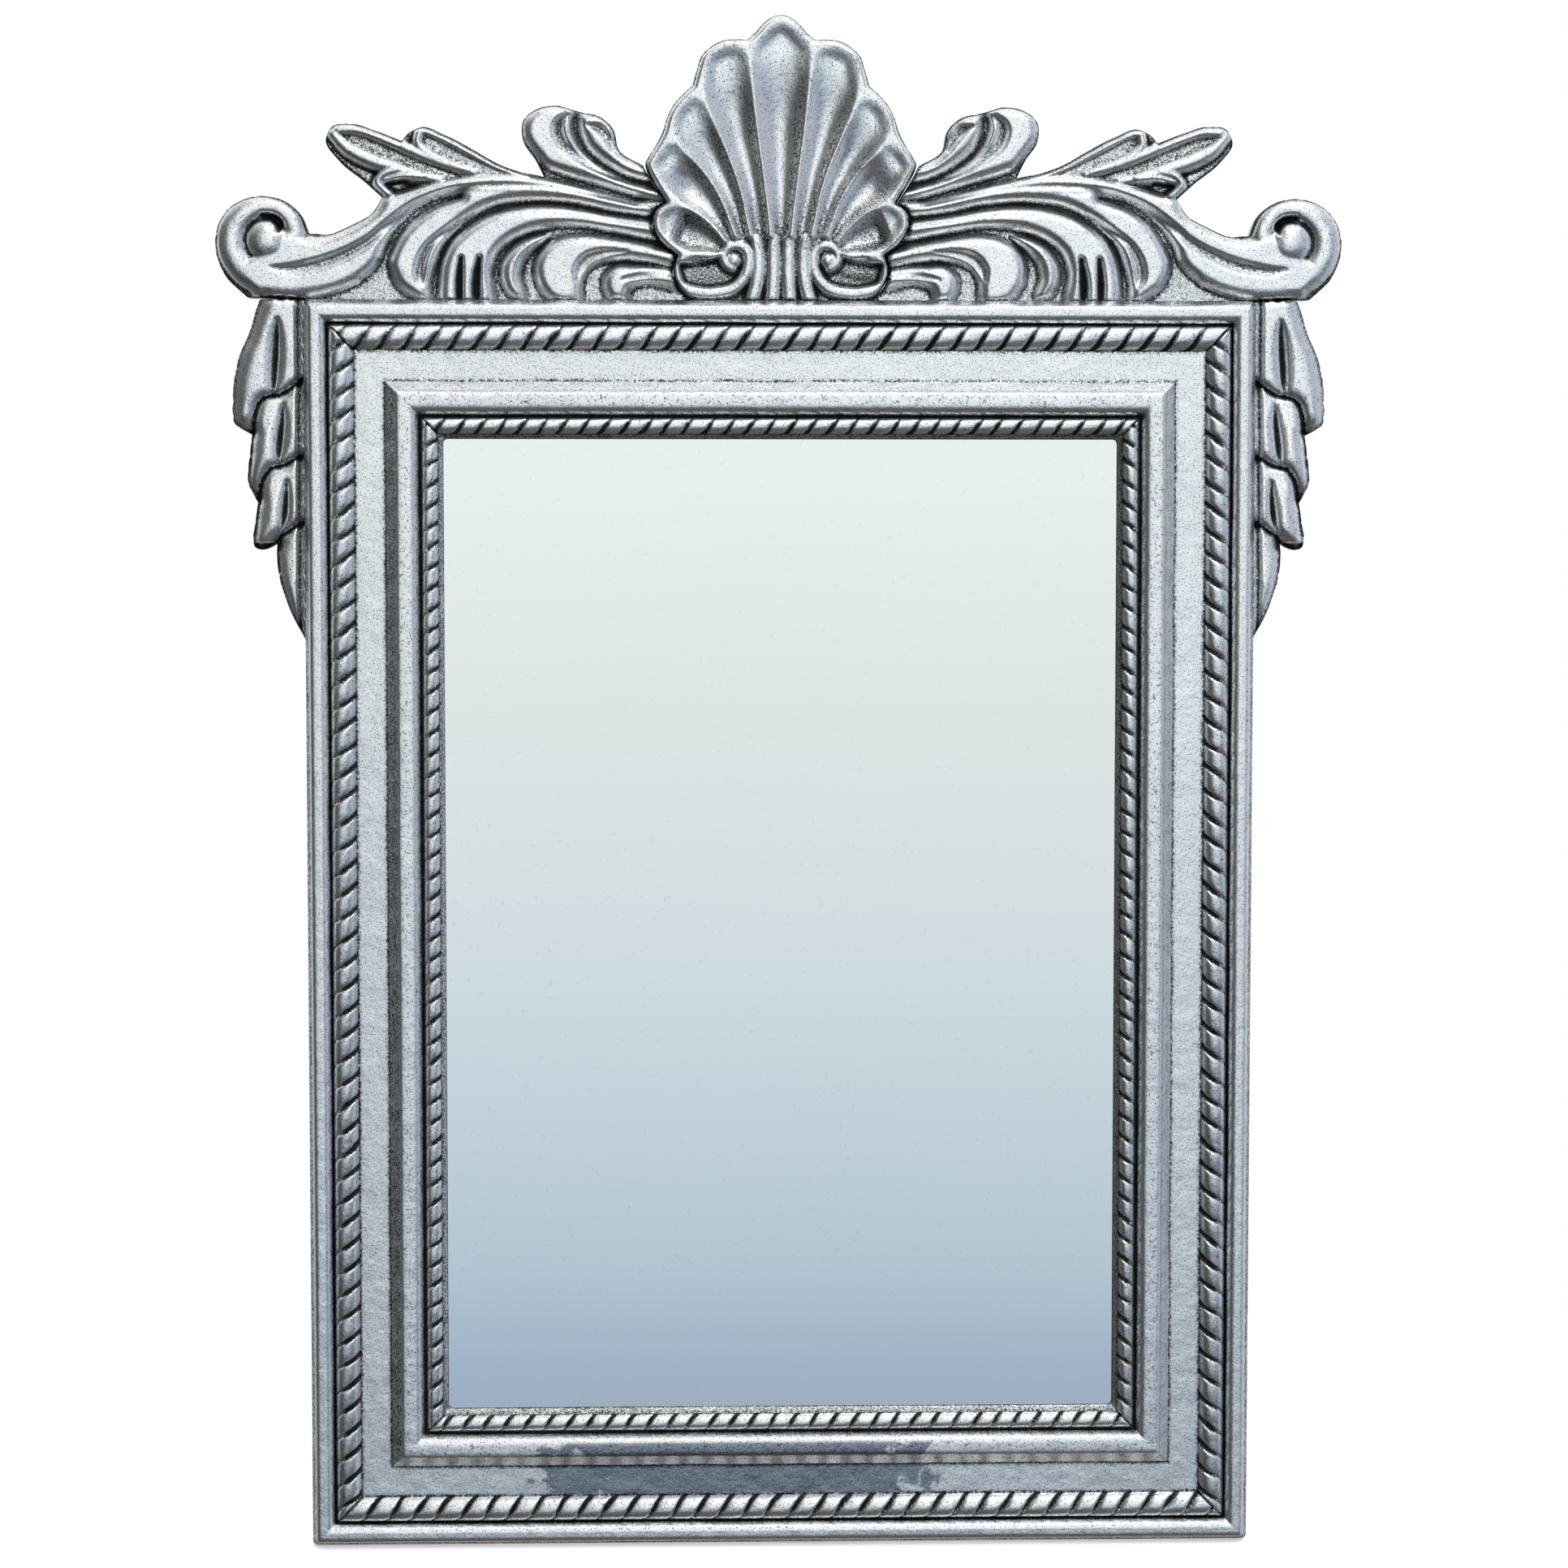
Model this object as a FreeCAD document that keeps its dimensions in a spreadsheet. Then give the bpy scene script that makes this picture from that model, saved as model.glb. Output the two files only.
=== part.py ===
"""Wall mirror in a cast metal frame with rope mouldings, a shell crest and side leaves.

Millimetres. X runs to the right as seen from the front, Z runs up, and the front faces -Y.
The origin lies on the wall, behind the middle of the rectangular frame. Depths are measured
forwards from the frame's back rim, which felt pads hold off the wall.
"""
import FreeCAD, Part

import math
import os

import Sketcher

Vector = FreeCAD.Vector
RIGHT = Vector(1, 0, 0)
FRONT = Vector(0, -1, 0)
UP = Vector(0, 0, 1)

SIZES = (
    ("frame_width", 420.0, "rectangular frame, left to right"),
    ("frame_height", 555.0, "rectangular frame, bottom to top"),
    ("corner_radius", 2.5, "rounding of the frame's four outer corners"),
    ("crest_overhang", 39.0, "crest, how far a volute reaches beyond the frame's side"),
    ("crest_rise", 124.5, "crest, from the frame's top to the tip of the shell"),
    ("leaf_reach", 32.0, "side leaf, outwards from the frame's side"),
    ("leaf_drop", 151.0, "side leaf, downwards from the frame's top"),
    ("edge_bevel", 2.2, "moulding, from the side wall to the bead"),
    ("bead_width", 6.5, "moulding, outer bead"),
    ("rope_gap", 2.6, "moulding, channel between bead and outer rope"),
    ("outer_rope_width", 10.7, "moulding, outer rope"),
    ("flat_width", 14.7, "moulding, flat band"),
    ("step_width", 2.8, "moulding, slope from the band up to the roll"),
    ("roll_width", 10.1, "moulding, inner roll"),
    ("inner_gap", 2.4, "moulding, channel between roll and inner rope"),
    ("inner_rope_width", 6.5, "moulding, inner rope"),
    ("sight_width", 2.5, "moulding, bevel beside the glass"),
    ("wall_depth", 15.0, "depth where the side wall ends"),
    ("bead_side_depth", 18.2, "depth of the bead's two edges"),
    ("bead_depth", 20.0, "depth of the bead's crown"),
    ("rope_seat_depth", 15.0, "depth of the outer rope's seat"),
    ("flat_depth", 16.0, "depth of the flat band"),
    ("roll_side_depth", 19.4, "depth of the roll's outer edge"),
    ("roll_depth", 21.0, "depth of the roll's crown"),
    ("roll_foot_depth", 17.4, "depth of the roll's inner edge"),
    ("inner_seat_depth", 15.5, "depth of the inner rope's seat"),
    ("sight_depth", 12.2, "depth of the moulding's edge at the glass"),
    ("outer_rope_rise", 5.0, "outer rope above its seat"),
    ("inner_rope_rise", 3.2, "inner rope above its seat"),
    ("outer_rope_pitch", 10.5, "outer rope, from strand to strand"),
    ("inner_rope_pitch", 9.1, "inner rope, from strand to strand"),
    ("strand_groove_width", 0.9, "rope, width of the groove between strands"),
    ("strand_groove_depth", 1.5, "rope, depth of the groove between strands"),
    ("strand_slant", 58.0, "rope, degrees between a groove and the rope's length"),
    ("side_wall", 4.0, "casting, thickness of the side wall"),
    ("hollow_depth", 11.5, "casting, depth of the hollow's floor"),
    ("rebate_wall", 4.0, "casting, thickness of the wall round the glass"),
    ("rebate_back_depth", 5.0, "casting, depth where that wall's back edge lies"),
    ("glass_overlap", 5.5, "how far the casting reaches over the glass"),
    ("glass_gap", 1.0, "play round the edge of the glass"),
    ("glass_thickness", 3.0, "mirror glass"),
    ("board_thickness", 3.0, "backing board"),
    ("pad_thickness", 2.0, "felt pad, between the rim and the wall"),
    ("pad_diameter", 14.0, "felt pad"),
    ("pad_inset", 12.0, "felt pad's middle, in from the frame's sides"),
    ("button_inset", 4.7, "turn button's pivot, out from the rebate"),
    ("button_boss_diameter", 9.0, "boss under a turn button"),
    ("button_width", 8.0, "turn button"),
    ("button_reach", 14.0, "turn button, from the pivot to the tip"),
    ("button_thickness", 1.2, "turn button"),
    ("button_spread", 110.0, "side turn buttons, up and down from the middle"),
    ("running_gap", 0.1, "play on each side of a part that turns"),
    ("small_shank", 3.0, "turn button screw, shank"),
    ("small_head", 6.0, "turn button screw, head"),
    ("small_head_height", 1.6, "turn button screw, head"),
    ("small_grip", 5.0, "turn button screw, length inside its boss"),
    ("shank_gap", 0.05, "play round a screw's shank"),
    ("strap_width", 12.0, "hanger strap"),
    ("strap_length", 32.0, "hanger strap, from its foot to the ring's axis"),
    ("strap_thickness", 1.2, "hanger strap"),
    ("strap_seat_depth", 4.5, "hanger strap's seat in the hollow"),
    ("hanger_inset", 27.0, "hanger's middle, in from the frame's side"),
    ("hanger_height", 100.0, "ring's axis above the middle of the frame"),
    ("ring_wire", 2.5, "ring, wire diameter"),
    ("ring_half_width", 8.2, "ring, from its middle to the wire's centre line"),
    ("ring_arm", 9.0, "ring, straight arm beyond the axis"),
    ("ring_bend", 1.6, "ring, centre line radius beside the bar"),
    ("ring_stop_gap", 0.4, "between the leaning ring and the hollow's floor"),
    ("hanger_shank", 4.0, "hanger screw, shank"),
    ("hanger_head", 7.0, "hanger screw, head"),
    ("hanger_head_height", 1.8, "hanger screw, head"),
    ("hanger_grip", 8.0, "hanger screw, length inside its pad"),
    ("hanger_screw_first", 10.0, "upper hanger screw below the ring's axis"),
    ("hanger_screw_step", 13.0, "from the upper to the lower hanger screw"),
    ("fixing_shank", 4.0, "crest and leaf screw, shank"),
    ("fixing_head", 7.0, "crest and leaf screw, head"),
    ("fixing_head_height", 2.2, "crest and leaf screw, head"),
    ("fixing_grip", 8.0, "crest and leaf screw, length inside the ornament"),
    ("fixing_depth", 6.0, "crest and leaf screw, depth of its axis"),
    ("shell_screw_offset", 26.0, "shell screws, from the middle"),
    ("wing_screw_inner", 88.0, "inner wing screws, from the middle"),
    ("wing_screw_inset", 38.0, "outer wing screws, in from the frame's side"),
    ("leaf_screw_upper", 30.0, "upper leaf screws, below the frame's top"),
    ("leaf_screw_lower", 84.0, "lower leaf screws, below the frame's top"),
    ("ground_depth", 9.0, "ornament, depth of the plate that carries the strands"),
    ("strand_rise", 5.0, "ornament, highest strand above the plate"),
    ("strand_sink", 1.0, "ornament, how deep a strand is rooted in the plate"),
    ("volute_rise", 6.5, "ornament, button of the volute above the plate"),
    ("shell_depth", 16.0, "shell, depth of its ridges"),
    ("flute_cut", 3.6, "shell, depth of the widest flute"),
    ("shell_foot_depth", 12.0, "shell, depth of the plate under the reeds"),
    ("reed_rise", 3.2, "shell, reeds and scrolls above that plate"),
    ("casting_wall", 3.2, "ornament, metal left in front of its hollow back"),
    ("leaf_ground_depth", 7.0, "leaf, depth of the plate that carries the fingers"),
    ("seam_gap", 0.3, "between neighbouring ornaments"),
    ("slot_width", 1.0, "screw, width of the driver slot"),
    ("overrun", 2.0, "how far a cutting shape passes the face it cuts"),
)

# Shares of the crest's reach and rise, outwards and upwards from the middle of the frame's top.
# An outline is a list of curves, and each curve starts where the last one ends.
wing_outline_shares = (
    ((0.944, 0.010), (0.960, 0.038), (0.980, 0.079), (0.994, 0.130), (1.000, 0.195), (0.994, 0.267),
     (0.975, 0.320), (0.943, 0.356), (0.905, 0.363), (0.872, 0.342), (0.848, 0.298), (0.835, 0.235)),
    ((0.835, 0.235), (0.800, 0.231), (0.759, 0.263), (0.721, 0.309), (0.705, 0.362)),
    ((0.705, 0.362), (0.738, 0.421), (0.780, 0.489), (0.803, 0.560), (0.794, 0.605), (0.758, 0.618),
     (0.715, 0.594), (0.670, 0.559)),
    ((0.670, 0.559), (0.657, 0.587), (0.635, 0.607), (0.593, 0.580), (0.539, 0.524), (0.499, 0.479),
     (0.463, 0.453), (0.419, 0.436)),
    ((0.419, 0.436), (0.434, 0.496), (0.456, 0.565), (0.454, 0.635), (0.430, 0.672), (0.399, 0.684),
     (0.357, 0.663), (0.317, 0.642), (0.297, 0.605), (0.286, 0.529), (0.242, 0.467)),
    ((0.242, 0.467), (0.100, 0.350)),
    ((0.100, 0.350), (0.100, 0.000)),
    ((0.100, 0.000), (0.844, 0.000)),
    ((0.844, 0.000), (0.944, 0.010)),
)
wing_hollow_shares = (
    ((0.250, 0.100), (0.250, 0.290)),
    ((0.250, 0.290), (0.330, 0.350)),
    ((0.330, 0.350), (0.600, 0.370)),
    ((0.600, 0.370), (0.680, 0.230)),
    ((0.680, 0.230), (0.640, 0.100)),
    ((0.640, 0.100), (0.250, 0.100)),
)
shell_half_shares = (
    ((0.000, 1.000), (0.017, 0.990), (0.032, 0.965), (0.048, 0.935), (0.058, 0.915)),
    ((0.058, 0.915), (0.107, 0.905), (0.125, 0.885), (0.140, 0.855), (0.148, 0.810), (0.156, 0.752)),
    ((0.156, 0.752), (0.175, 0.717), (0.191, 0.680), (0.201, 0.640), (0.208, 0.593), (0.220, 0.545),
     (0.240, 0.485)),
    ((0.240, 0.485), (0.232, 0.467), (0.225, 0.420), (0.205, 0.343)),
    ((0.205, 0.343), (0.222, 0.318), (0.228, 0.280), (0.225, 0.240), (0.211, 0.200), (0.185, 0.155)),
    ((0.185, 0.155), (0.190, 0.120), (0.190, 0.086), (0.181, 0.046), (0.160, 0.000)),
    ((0.160, 0.000), (0.000, 0.000)),
)
shell_hollow_shares = (
    ((-0.130, 0.110), (-0.160, 0.300)),
    ((-0.160, 0.300), (-0.150, 0.600)),
    ((-0.150, 0.600), (-0.090, 0.800)),
    ((-0.090, 0.800), (0.090, 0.800)),
    ((0.090, 0.800), (0.150, 0.600)),
    ((0.150, 0.600), (0.160, 0.300)),
    ((0.160, 0.300), (0.130, 0.110)),
    ((0.130, 0.110), (-0.130, 0.110)),
)

# Strands and flutes: places on a centre line with half the width there, as a share of the reach.
wing_strand_shares = {
    "volute_rim": (
        (0.585, 0.365, 0.008), (0.660, 0.290, 0.016), (0.710, 0.190, 0.021), (0.755, 0.110, 0.022),
        (0.800, 0.072, 0.022), (0.860, 0.055, 0.021), (0.915, 0.068, 0.021), (0.955, 0.115, 0.021),
        (0.976, 0.190, 0.021), (0.970, 0.260, 0.020), (0.948, 0.315, 0.016), (0.915, 0.338, 0.013),
        (0.885, 0.325, 0.013), (0.866, 0.285, 0.016), (0.862, 0.235, 0.018)),
    "stem": (
        (0.850, 0.165, 0.018), (0.800, 0.180, 0.020), (0.760, 0.212, 0.019), (0.720, 0.265, 0.019),
        (0.680, 0.330, 0.019), (0.620, 0.385, 0.016), (0.550, 0.415, 0.012), (0.470, 0.420, 0.009)),
    "leaf_lobe_upper_rim": (
        (0.560, 0.460, 0.010), (0.600, 0.485, 0.013), (0.650, 0.525, 0.014), (0.700, 0.570, 0.014),
        (0.745, 0.597, 0.012), (0.785, 0.597, 0.008)),
    "leaf_lobe_lower_rim": (
        (0.635, 0.420, 0.012), (0.680, 0.460, 0.015), (0.730, 0.495, 0.017), (0.765, 0.530, 0.015),
        (0.790, 0.575, 0.010)),
    "second_lobe_left_rim": (
        (0.570, 0.465, 0.009), (0.605, 0.490, 0.010), (0.630, 0.520, 0.010), (0.645, 0.560, 0.009),
        (0.640, 0.585, 0.007)),
    "second_lobe_right_rim": (
        (0.460, 0.445, 0.009), (0.500, 0.475, 0.012), (0.535, 0.510, 0.013), (0.570, 0.545, 0.013),
        (0.605, 0.580, 0.012), (0.632, 0.593, 0.008)),
    "small_lobe": (
        (0.690, 0.370, 0.008), (0.705, 0.400, 0.010), (0.704, 0.435, 0.010), (0.680, 0.462, 0.008)),
    "large_curl": (
        (0.300, 0.415, 0.010), (0.350, 0.440, 0.012), (0.395, 0.475, 0.013), (0.425, 0.530, 0.013),
        (0.438, 0.580, 0.012), (0.435, 0.630, 0.011), (0.415, 0.660, 0.010), (0.390, 0.665, 0.008)),
    "small_curl": (
        (0.245, 0.430, 0.010), (0.270, 0.450, 0.012), (0.310, 0.490, 0.013), (0.335, 0.540, 0.013),
        (0.345, 0.600, 0.012), (0.340, 0.635, 0.009)),
    "branch": (
        (0.505, 0.348, 0.008), (0.575, 0.318, 0.016), (0.620, 0.260, 0.020), (0.647, 0.190, 0.020),
        (0.655, 0.130, 0.019), (0.652, 0.070, 0.016), (0.642, 0.012, 0.012)),
    "fingers": (
        (0.225, 0.245, 0.016), (0.300, 0.268, 0.016), (0.360, 0.290, 0.017), (0.420, 0.295, 0.020),
        (0.480, 0.270, 0.024), (0.525, 0.215, 0.030), (0.548, 0.150, 0.040), (0.553, 0.080, 0.044),
        (0.553, 0.010, 0.040)),
    "crescent": (
        (0.420, 0.218, 0.005), (0.455, 0.195, 0.008), (0.477, 0.150, 0.011), (0.481, 0.100, 0.013),
        (0.475, 0.050, 0.011), (0.463, 0.012, 0.008)),
    "large_comma": (
        (0.210, 0.155, 0.014), (0.260, 0.170, 0.015), (0.320, 0.180, 0.019), (0.365, 0.165, 0.024),
        (0.390, 0.120, 0.024), (0.393, 0.070, 0.022), (0.385, 0.012, 0.018)),
    "small_comma": (
        (0.200, 0.080, 0.013), (0.240, 0.088, 0.014), (0.275, 0.085, 0.015), (0.293, 0.055, 0.014),
        (0.290, 0.012, 0.010)),
}
finger_slot_shares = (
    ((0.568, 0.005, 0.006), (0.568, 0.080, 0.006), (0.566, 0.147, 0.003)),
    ((0.540, 0.005, 0.008), (0.540, 0.080, 0.008), (0.536, 0.147, 0.003)),
)
volute_button_share = (0.902, 0.208, 0.037)
shell_flute_shares = (
    ((0.000, 0.235, 0.014), (0.000, 0.400, 0.024), (0.000, 0.600, 0.036), (0.000, 0.930, 0.048)),
    ((0.037, 0.240, 0.013), (0.055, 0.370, 0.016), (0.075, 0.540, 0.021), (0.090, 0.660, 0.025),
     (0.106, 0.860, 0.034)),
    ((0.070, 0.235, 0.010), (0.088, 0.353, 0.014), (0.112, 0.465, 0.018), (0.142, 0.565, 0.022),
     (0.185, 0.690, 0.026)),
    ((0.092, 0.220, 0.009), (0.120, 0.317, 0.015), (0.152, 0.385, 0.018), (0.185, 0.440, 0.021),
     (0.228, 0.500, 0.024)),
    ((0.108, 0.180, 0.010), (0.150, 0.225, 0.018), (0.190, 0.258, 0.023), (0.232, 0.285, 0.026)),
)
reed_shares = (
    ((0.013, 0.004, 0.010), (0.013, 0.110, 0.010), (0.012, 0.205, 0.009)),
    ((0.045, 0.004, 0.010), (0.040, 0.080, 0.010), (0.037, 0.205, 0.009)),
)
# The plate under the reeds and scrolls: half its width and its height.
shell_foot_shares = ((0.098, 0.215), (0.200, 0.150))
shell_scroll_shares = (
    (0.175, 0.110, 0.010), (0.166, 0.060, 0.011), (0.130, 0.048, 0.011), (0.090, 0.058, 0.010),
    (0.064, 0.095, 0.009), (0.060, 0.150, 0.009), (0.078, 0.172, 0.009), (0.088, 0.140, 0.009),
)

# Shares of the leaf's reach and drop, outwards and downwards from the frame's upper corner.
leaf_outline_shares = (
    ((0.000, 0.000), (0.617, 0.000)),
    ((0.617, 0.000), (0.700, 0.050), (0.776, 0.100), (0.880, 0.148), (0.946, 0.197), (0.985, 0.246),
     (1.000, 0.295), (0.996, 0.335), (0.970, 0.358), (0.910, 0.368), (0.747, 0.388)),
    ((0.747, 0.388), (0.768, 0.440), (0.794, 0.490), (0.797, 0.520), (0.782, 0.540), (0.739, 0.555),
     (0.675, 0.585)),
    ((0.675, 0.585), (0.690, 0.620), (0.715, 0.660), (0.738, 0.700), (0.720, 0.716), (0.643, 0.724),
     (0.500, 0.717), (0.414, 0.706)),
    ((0.414, 0.706), (0.411, 0.735), (0.402, 0.765), (0.352, 0.824), (0.226, 0.902), (0.044, 0.980),
     (0.000, 1.000)),
    ((0.000, 1.000), (0.000, 0.000)),
)
leaf_strand_shares = {
    "first_inner": ((0.190, 0.020, 0.13), (0.185, 0.100, 0.14), (0.185, 0.170, 0.14), (0.230, 0.238, 0.11)),
    "first_outer": (
        (0.530, 0.020, 0.12), (0.590, 0.080, 0.15), (0.655, 0.150, 0.18), (0.720, 0.215, 0.19),
        (0.800, 0.280, 0.16), (0.905, 0.335, 0.08)),
    "second_inner": ((0.140, 0.270, 0.11), (0.150, 0.330, 0.12), (0.155, 0.400, 0.12), (0.200, 0.455, 0.09)),
    "second_outer": (
        (0.360, 0.300, 0.11), (0.450, 0.345, 0.14), (0.540, 0.410, 0.15), (0.620, 0.470, 0.13),
        (0.715, 0.525, 0.07)),
    "third_inner": ((0.130, 0.490, 0.10), (0.140, 0.550, 0.11), (0.150, 0.620, 0.11), (0.190, 0.662, 0.08)),
    "third_outer": ((0.330, 0.520, 0.10), (0.430, 0.575, 0.12), (0.510, 0.640, 0.13), (0.600, 0.700, 0.09)),
    "blade": (
        (0.140, 0.690, 0.12), (0.200, 0.750, 0.17), (0.200, 0.800, 0.16), (0.150, 0.860, 0.12),
        (0.090, 0.920, 0.07), (0.040, 0.965, 0.03)),
}

document = FreeCAD.newDocument("mirror")
sheet = document.addObject("Spreadsheet::Sheet", "Sizes")


def fill_sheet():
    for row, (alias, value, note) in enumerate(SIZES, start=1):
        sheet.set(f"A{row}", note)
        sheet.set(f"B{row}", str(value))
        sheet.setAlias(f"B{row}", alias)
    document.recompute()


class Length:
    """A length from the sheet: the expression that binds it and the value that it has now."""

    def __init__(self, text, number):
        self.text = text
        self.number = number

    def __float__(self):
        return float(self.number)

    def __add__(self, other):
        return Length(f"({self.text} + {other.text})", self.number + other.number)

    def __sub__(self, other):
        return Length(f"({self.text} - {other.text})", self.number - other.number)

    def __mul__(self, factor):
        return Length(f"({self.text} * {factor})", self.number * factor)

    def __truediv__(self, divisor):
        return Length(f"({self.text} / {divisor})", self.number / divisor)

    def __neg__(self):
        return Length(f"(0 - {self.text})", -self.number)


class Sheet:
    """Gives each of the sheet's aliases as a Length."""

    def __getattr__(self, alias):
        return Length(f"Sizes.{alias}", float(sheet.get(alias)))


at = Sheet()
ZERO = Length("0", 0.0)


def bind(feature, path, length):
    feature.setExpression(path, length.text)


def new_body(label):
    body = document.addObject("PartDesign::Body", label)
    body.Label = label
    bind(body, "Placement.Base.y", -at.pad_thickness)
    return body


def origin_feature(body, role):
    return next(feature for feature in body.Origin.OriginFeatures if feature.Role == role)


def new_sketch(body, role, offset=ZERO):
    """A sketch on one of the body's planes, moved along the plane's normal."""
    sketch = body.newObject("Sketcher::SketchObject", f"{body.Name}_sketch")
    sketch.AttachmentSupport = [(origin_feature(body, role), "")]
    sketch.MapMode = "FlatFace"
    bind(sketch, "AttachmentOffset.Base.z", offset)
    return sketch


def constrain(sketch, kind, *references, length=None):
    if length is None:
        return sketch.addConstraint(Sketcher.Constraint(kind, *references))
    index = sketch.addConstraint(Sketcher.Constraint(kind, *references, float(length)))
    bind(sketch, f"Constraints[{index}]", length)
    return index


def pin(sketch, element, end, x, y):
    """Binds one point of the sketch to two lengths."""
    constrain(sketch, "DistanceX", -1, 1, element, end, length=x)
    constrain(sketch, "DistanceY", -1, 1, element, end, length=y)


def turns_left(start, through, end):
    return (through - start).cross(end - through).z > 0


def draw_path(sketch, corners, closed=True):
    """Draws lines through (x, y) corners, and an arc to each corner that also names (through x, through y)."""
    points = [Vector(float(corner[0]), float(corner[1]), 0) for corner in corners]
    count = len(corners) if closed else len(corners) - 1
    ends = []
    for place in range(count):
        following = (place + 1) % len(corners)
        target = corners[following]
        if len(target) == 2:
            element = sketch.addGeometry(Part.LineSegment(points[place], points[following]), False)
            ends.append((element, 1, 2))
            continue
        through = Vector(float(target[2]), float(target[3]), 0)
        left = turns_left(points[place], through, points[following])
        first, last = (points[place], points[following]) if left else (points[following], points[place])
        element = sketch.addGeometry(Part.Arc(first, through, last), False)
        middle = sketch.addGeometry(Part.Point(through), True)
        pin(sketch, middle, 1, target[2], target[3])
        constrain(sketch, "PointOnObject", middle, 1, element)
        ends.append((element, 1, 2) if left else (element, 2, 1))
    for place, (element, start, end) in enumerate(ends):
        pin(sketch, element, start, corners[place][0], corners[place][1])
        if place + 1 < len(ends) or closed:
            following = ends[(place + 1) % len(ends)]
            constrain(sketch, "Coincident", element, end, following[0], following[1])
    if not closed:
        pin(sketch, ends[-1][0], ends[-1][2], corners[-1][0], corners[-1][1])


def draw_rectangle(sketch, left, bottom, right, top):
    draw_path(sketch, ((left, bottom), (right, bottom), (right, top), (left, top)))


def draw_circle(sketch, x, y, radius):
    circle = Part.Circle(Vector(float(x), float(y), 0), Vector(0, 0, 1), float(radius))
    element = sketch.addGeometry(circle, False)
    pin(sketch, element, 3, x, y)
    constrain(sketch, "Radius", element, length=radius)


def add_pad(body, sketch, length, backwards=False, both_ways=False):
    pad = body.newObject("PartDesign::Pad", f"{body.Name}_pad")
    pad.Profile = sketch
    bind(pad, "Length", length)
    pad.Reversed = backwards
    if both_ways:
        pad.SideType = "Symmetric"
    sketch.Visibility = False
    document.recompute()
    return pad


def add_pocket(body, sketch, length, backwards=False):
    """Cuts along the sketch's normal turned round, or along it when backwards."""
    volume = body.Shape.Volume
    pocket = body.newObject("PartDesign::Pocket", f"{body.Name}_pocket")
    pocket.Profile = sketch
    bind(pocket, "Length", length)
    pocket.Reversed = backwards
    document.recompute()
    if not body.Shape.Volume < volume:
        raise RuntimeError(f"{pocket.Name} cuts nothing")
    return pocket


def add_pipe(body, profile, path):
    pipe = body.newObject("PartDesign::AdditivePipe", f"{body.Name}_pipe")
    pipe.Profile = profile
    pipe.Spine = (path, [])
    pipe.Transition = "Right corner"
    document.recompute()
    return pipe


def add_revolution(body, sketch, axis):
    revolution = body.newObject("PartDesign::Revolution", f"{body.Name}_turned")
    revolution.Profile = sketch
    revolution.ReferenceAxis = (sketch, [axis])
    document.recompute()
    return revolution


def side_signs():
    return (("left", -1), ("right", 1))


def crest_reach():
    """From the middle to the tip of a volute."""
    return at.frame_width / 2 + at.crest_overhang


def moulding_width():
    return (at.edge_bevel + at.bead_width + at.rope_gap + at.outer_rope_width + at.flat_width
            + at.step_width + at.roll_width + at.inner_gap + at.inner_rope_width + at.sight_width)


def outer_rope_middle():
    """From the frame's outer edge to the middle of the outer rope."""
    return at.edge_bevel + at.bead_width + at.rope_gap + at.outer_rope_width / 2


def inner_rope_middle():
    return moulding_width() - at.sight_width - at.inner_rope_width / 2


def rebate_inset():
    """From the frame's outer edge to the wall round the glass."""
    return moulding_width() - at.glass_overlap


def glass_seat_depth():
    return at.rebate_back_depth + at.board_thickness + at.glass_thickness


def seam_height():
    return at.frame_height / 2


def moulding_profile():
    """Corners of the casting's section as (height, depth), the height measured from the frame's middle."""
    top = seam_height()
    bead_start = top - at.edge_bevel
    bead_end = bead_start - at.bead_width
    rope_end = bead_end - at.rope_gap - at.outer_rope_width
    step_start = rope_end - at.flat_width
    step_end = step_start - at.step_width
    roll_end = step_end - at.roll_width
    inner_end = roll_end - at.inner_gap - at.inner_rope_width
    sight = inner_end - at.sight_width
    rebate = top - rebate_inset()
    seat = glass_seat_depth()
    return (
        (top, ZERO),
        (top, at.wall_depth),
        (bead_start, at.bead_side_depth),
        (bead_end, at.bead_side_depth, bead_start - at.bead_width / 2, at.bead_depth),
        (bead_end, at.rope_seat_depth),
        (rope_end, at.rope_seat_depth),
        (rope_end, at.flat_depth),
        (step_start, at.flat_depth),
        (step_end, at.roll_side_depth),
        (roll_end, at.roll_foot_depth, step_end - at.roll_width / 2, at.roll_depth),
        (roll_end, at.inner_seat_depth),
        (inner_end, at.inner_seat_depth),
        (sight, at.sight_depth),
        (sight, seat),
        (rebate, seat),
        (rebate, at.rebate_back_depth),
        (rebate + at.rebate_wall, at.rebate_back_depth),
        (rebate + at.rebate_wall, at.hollow_depth),
        (top - at.side_wall, at.hollow_depth),
        (top - at.side_wall, ZERO),
    )


def round_corners(body):
    """Rounds the four edges where the frame's outer faces meet."""
    half_width = float(at.frame_width) / 2
    half_height = float(at.frame_height) / 2
    reach = float(at.edge_bevel)
    names = []
    for number, edge in enumerate(body.Shape.Edges, start=1):
        ends = [vertex.Point for vertex in edge.Vertexes]
        upright = len(ends) == 2 and abs(ends[0].y - ends[1].y) > float(at.wall_depth) / 2
        in_corner = all(abs(abs(p.x) - half_width) < reach and abs(abs(p.z) - half_height) < reach for p in ends)
        if upright and in_corner:
            names.append(f"Edge{number}")
    base = body.Tip
    fillet = body.newObject("PartDesign::Fillet", "frame_corners")
    fillet.Base = (base, names)
    bind(fillet, "Radius", at.corner_radius)
    document.recompute()


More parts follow.
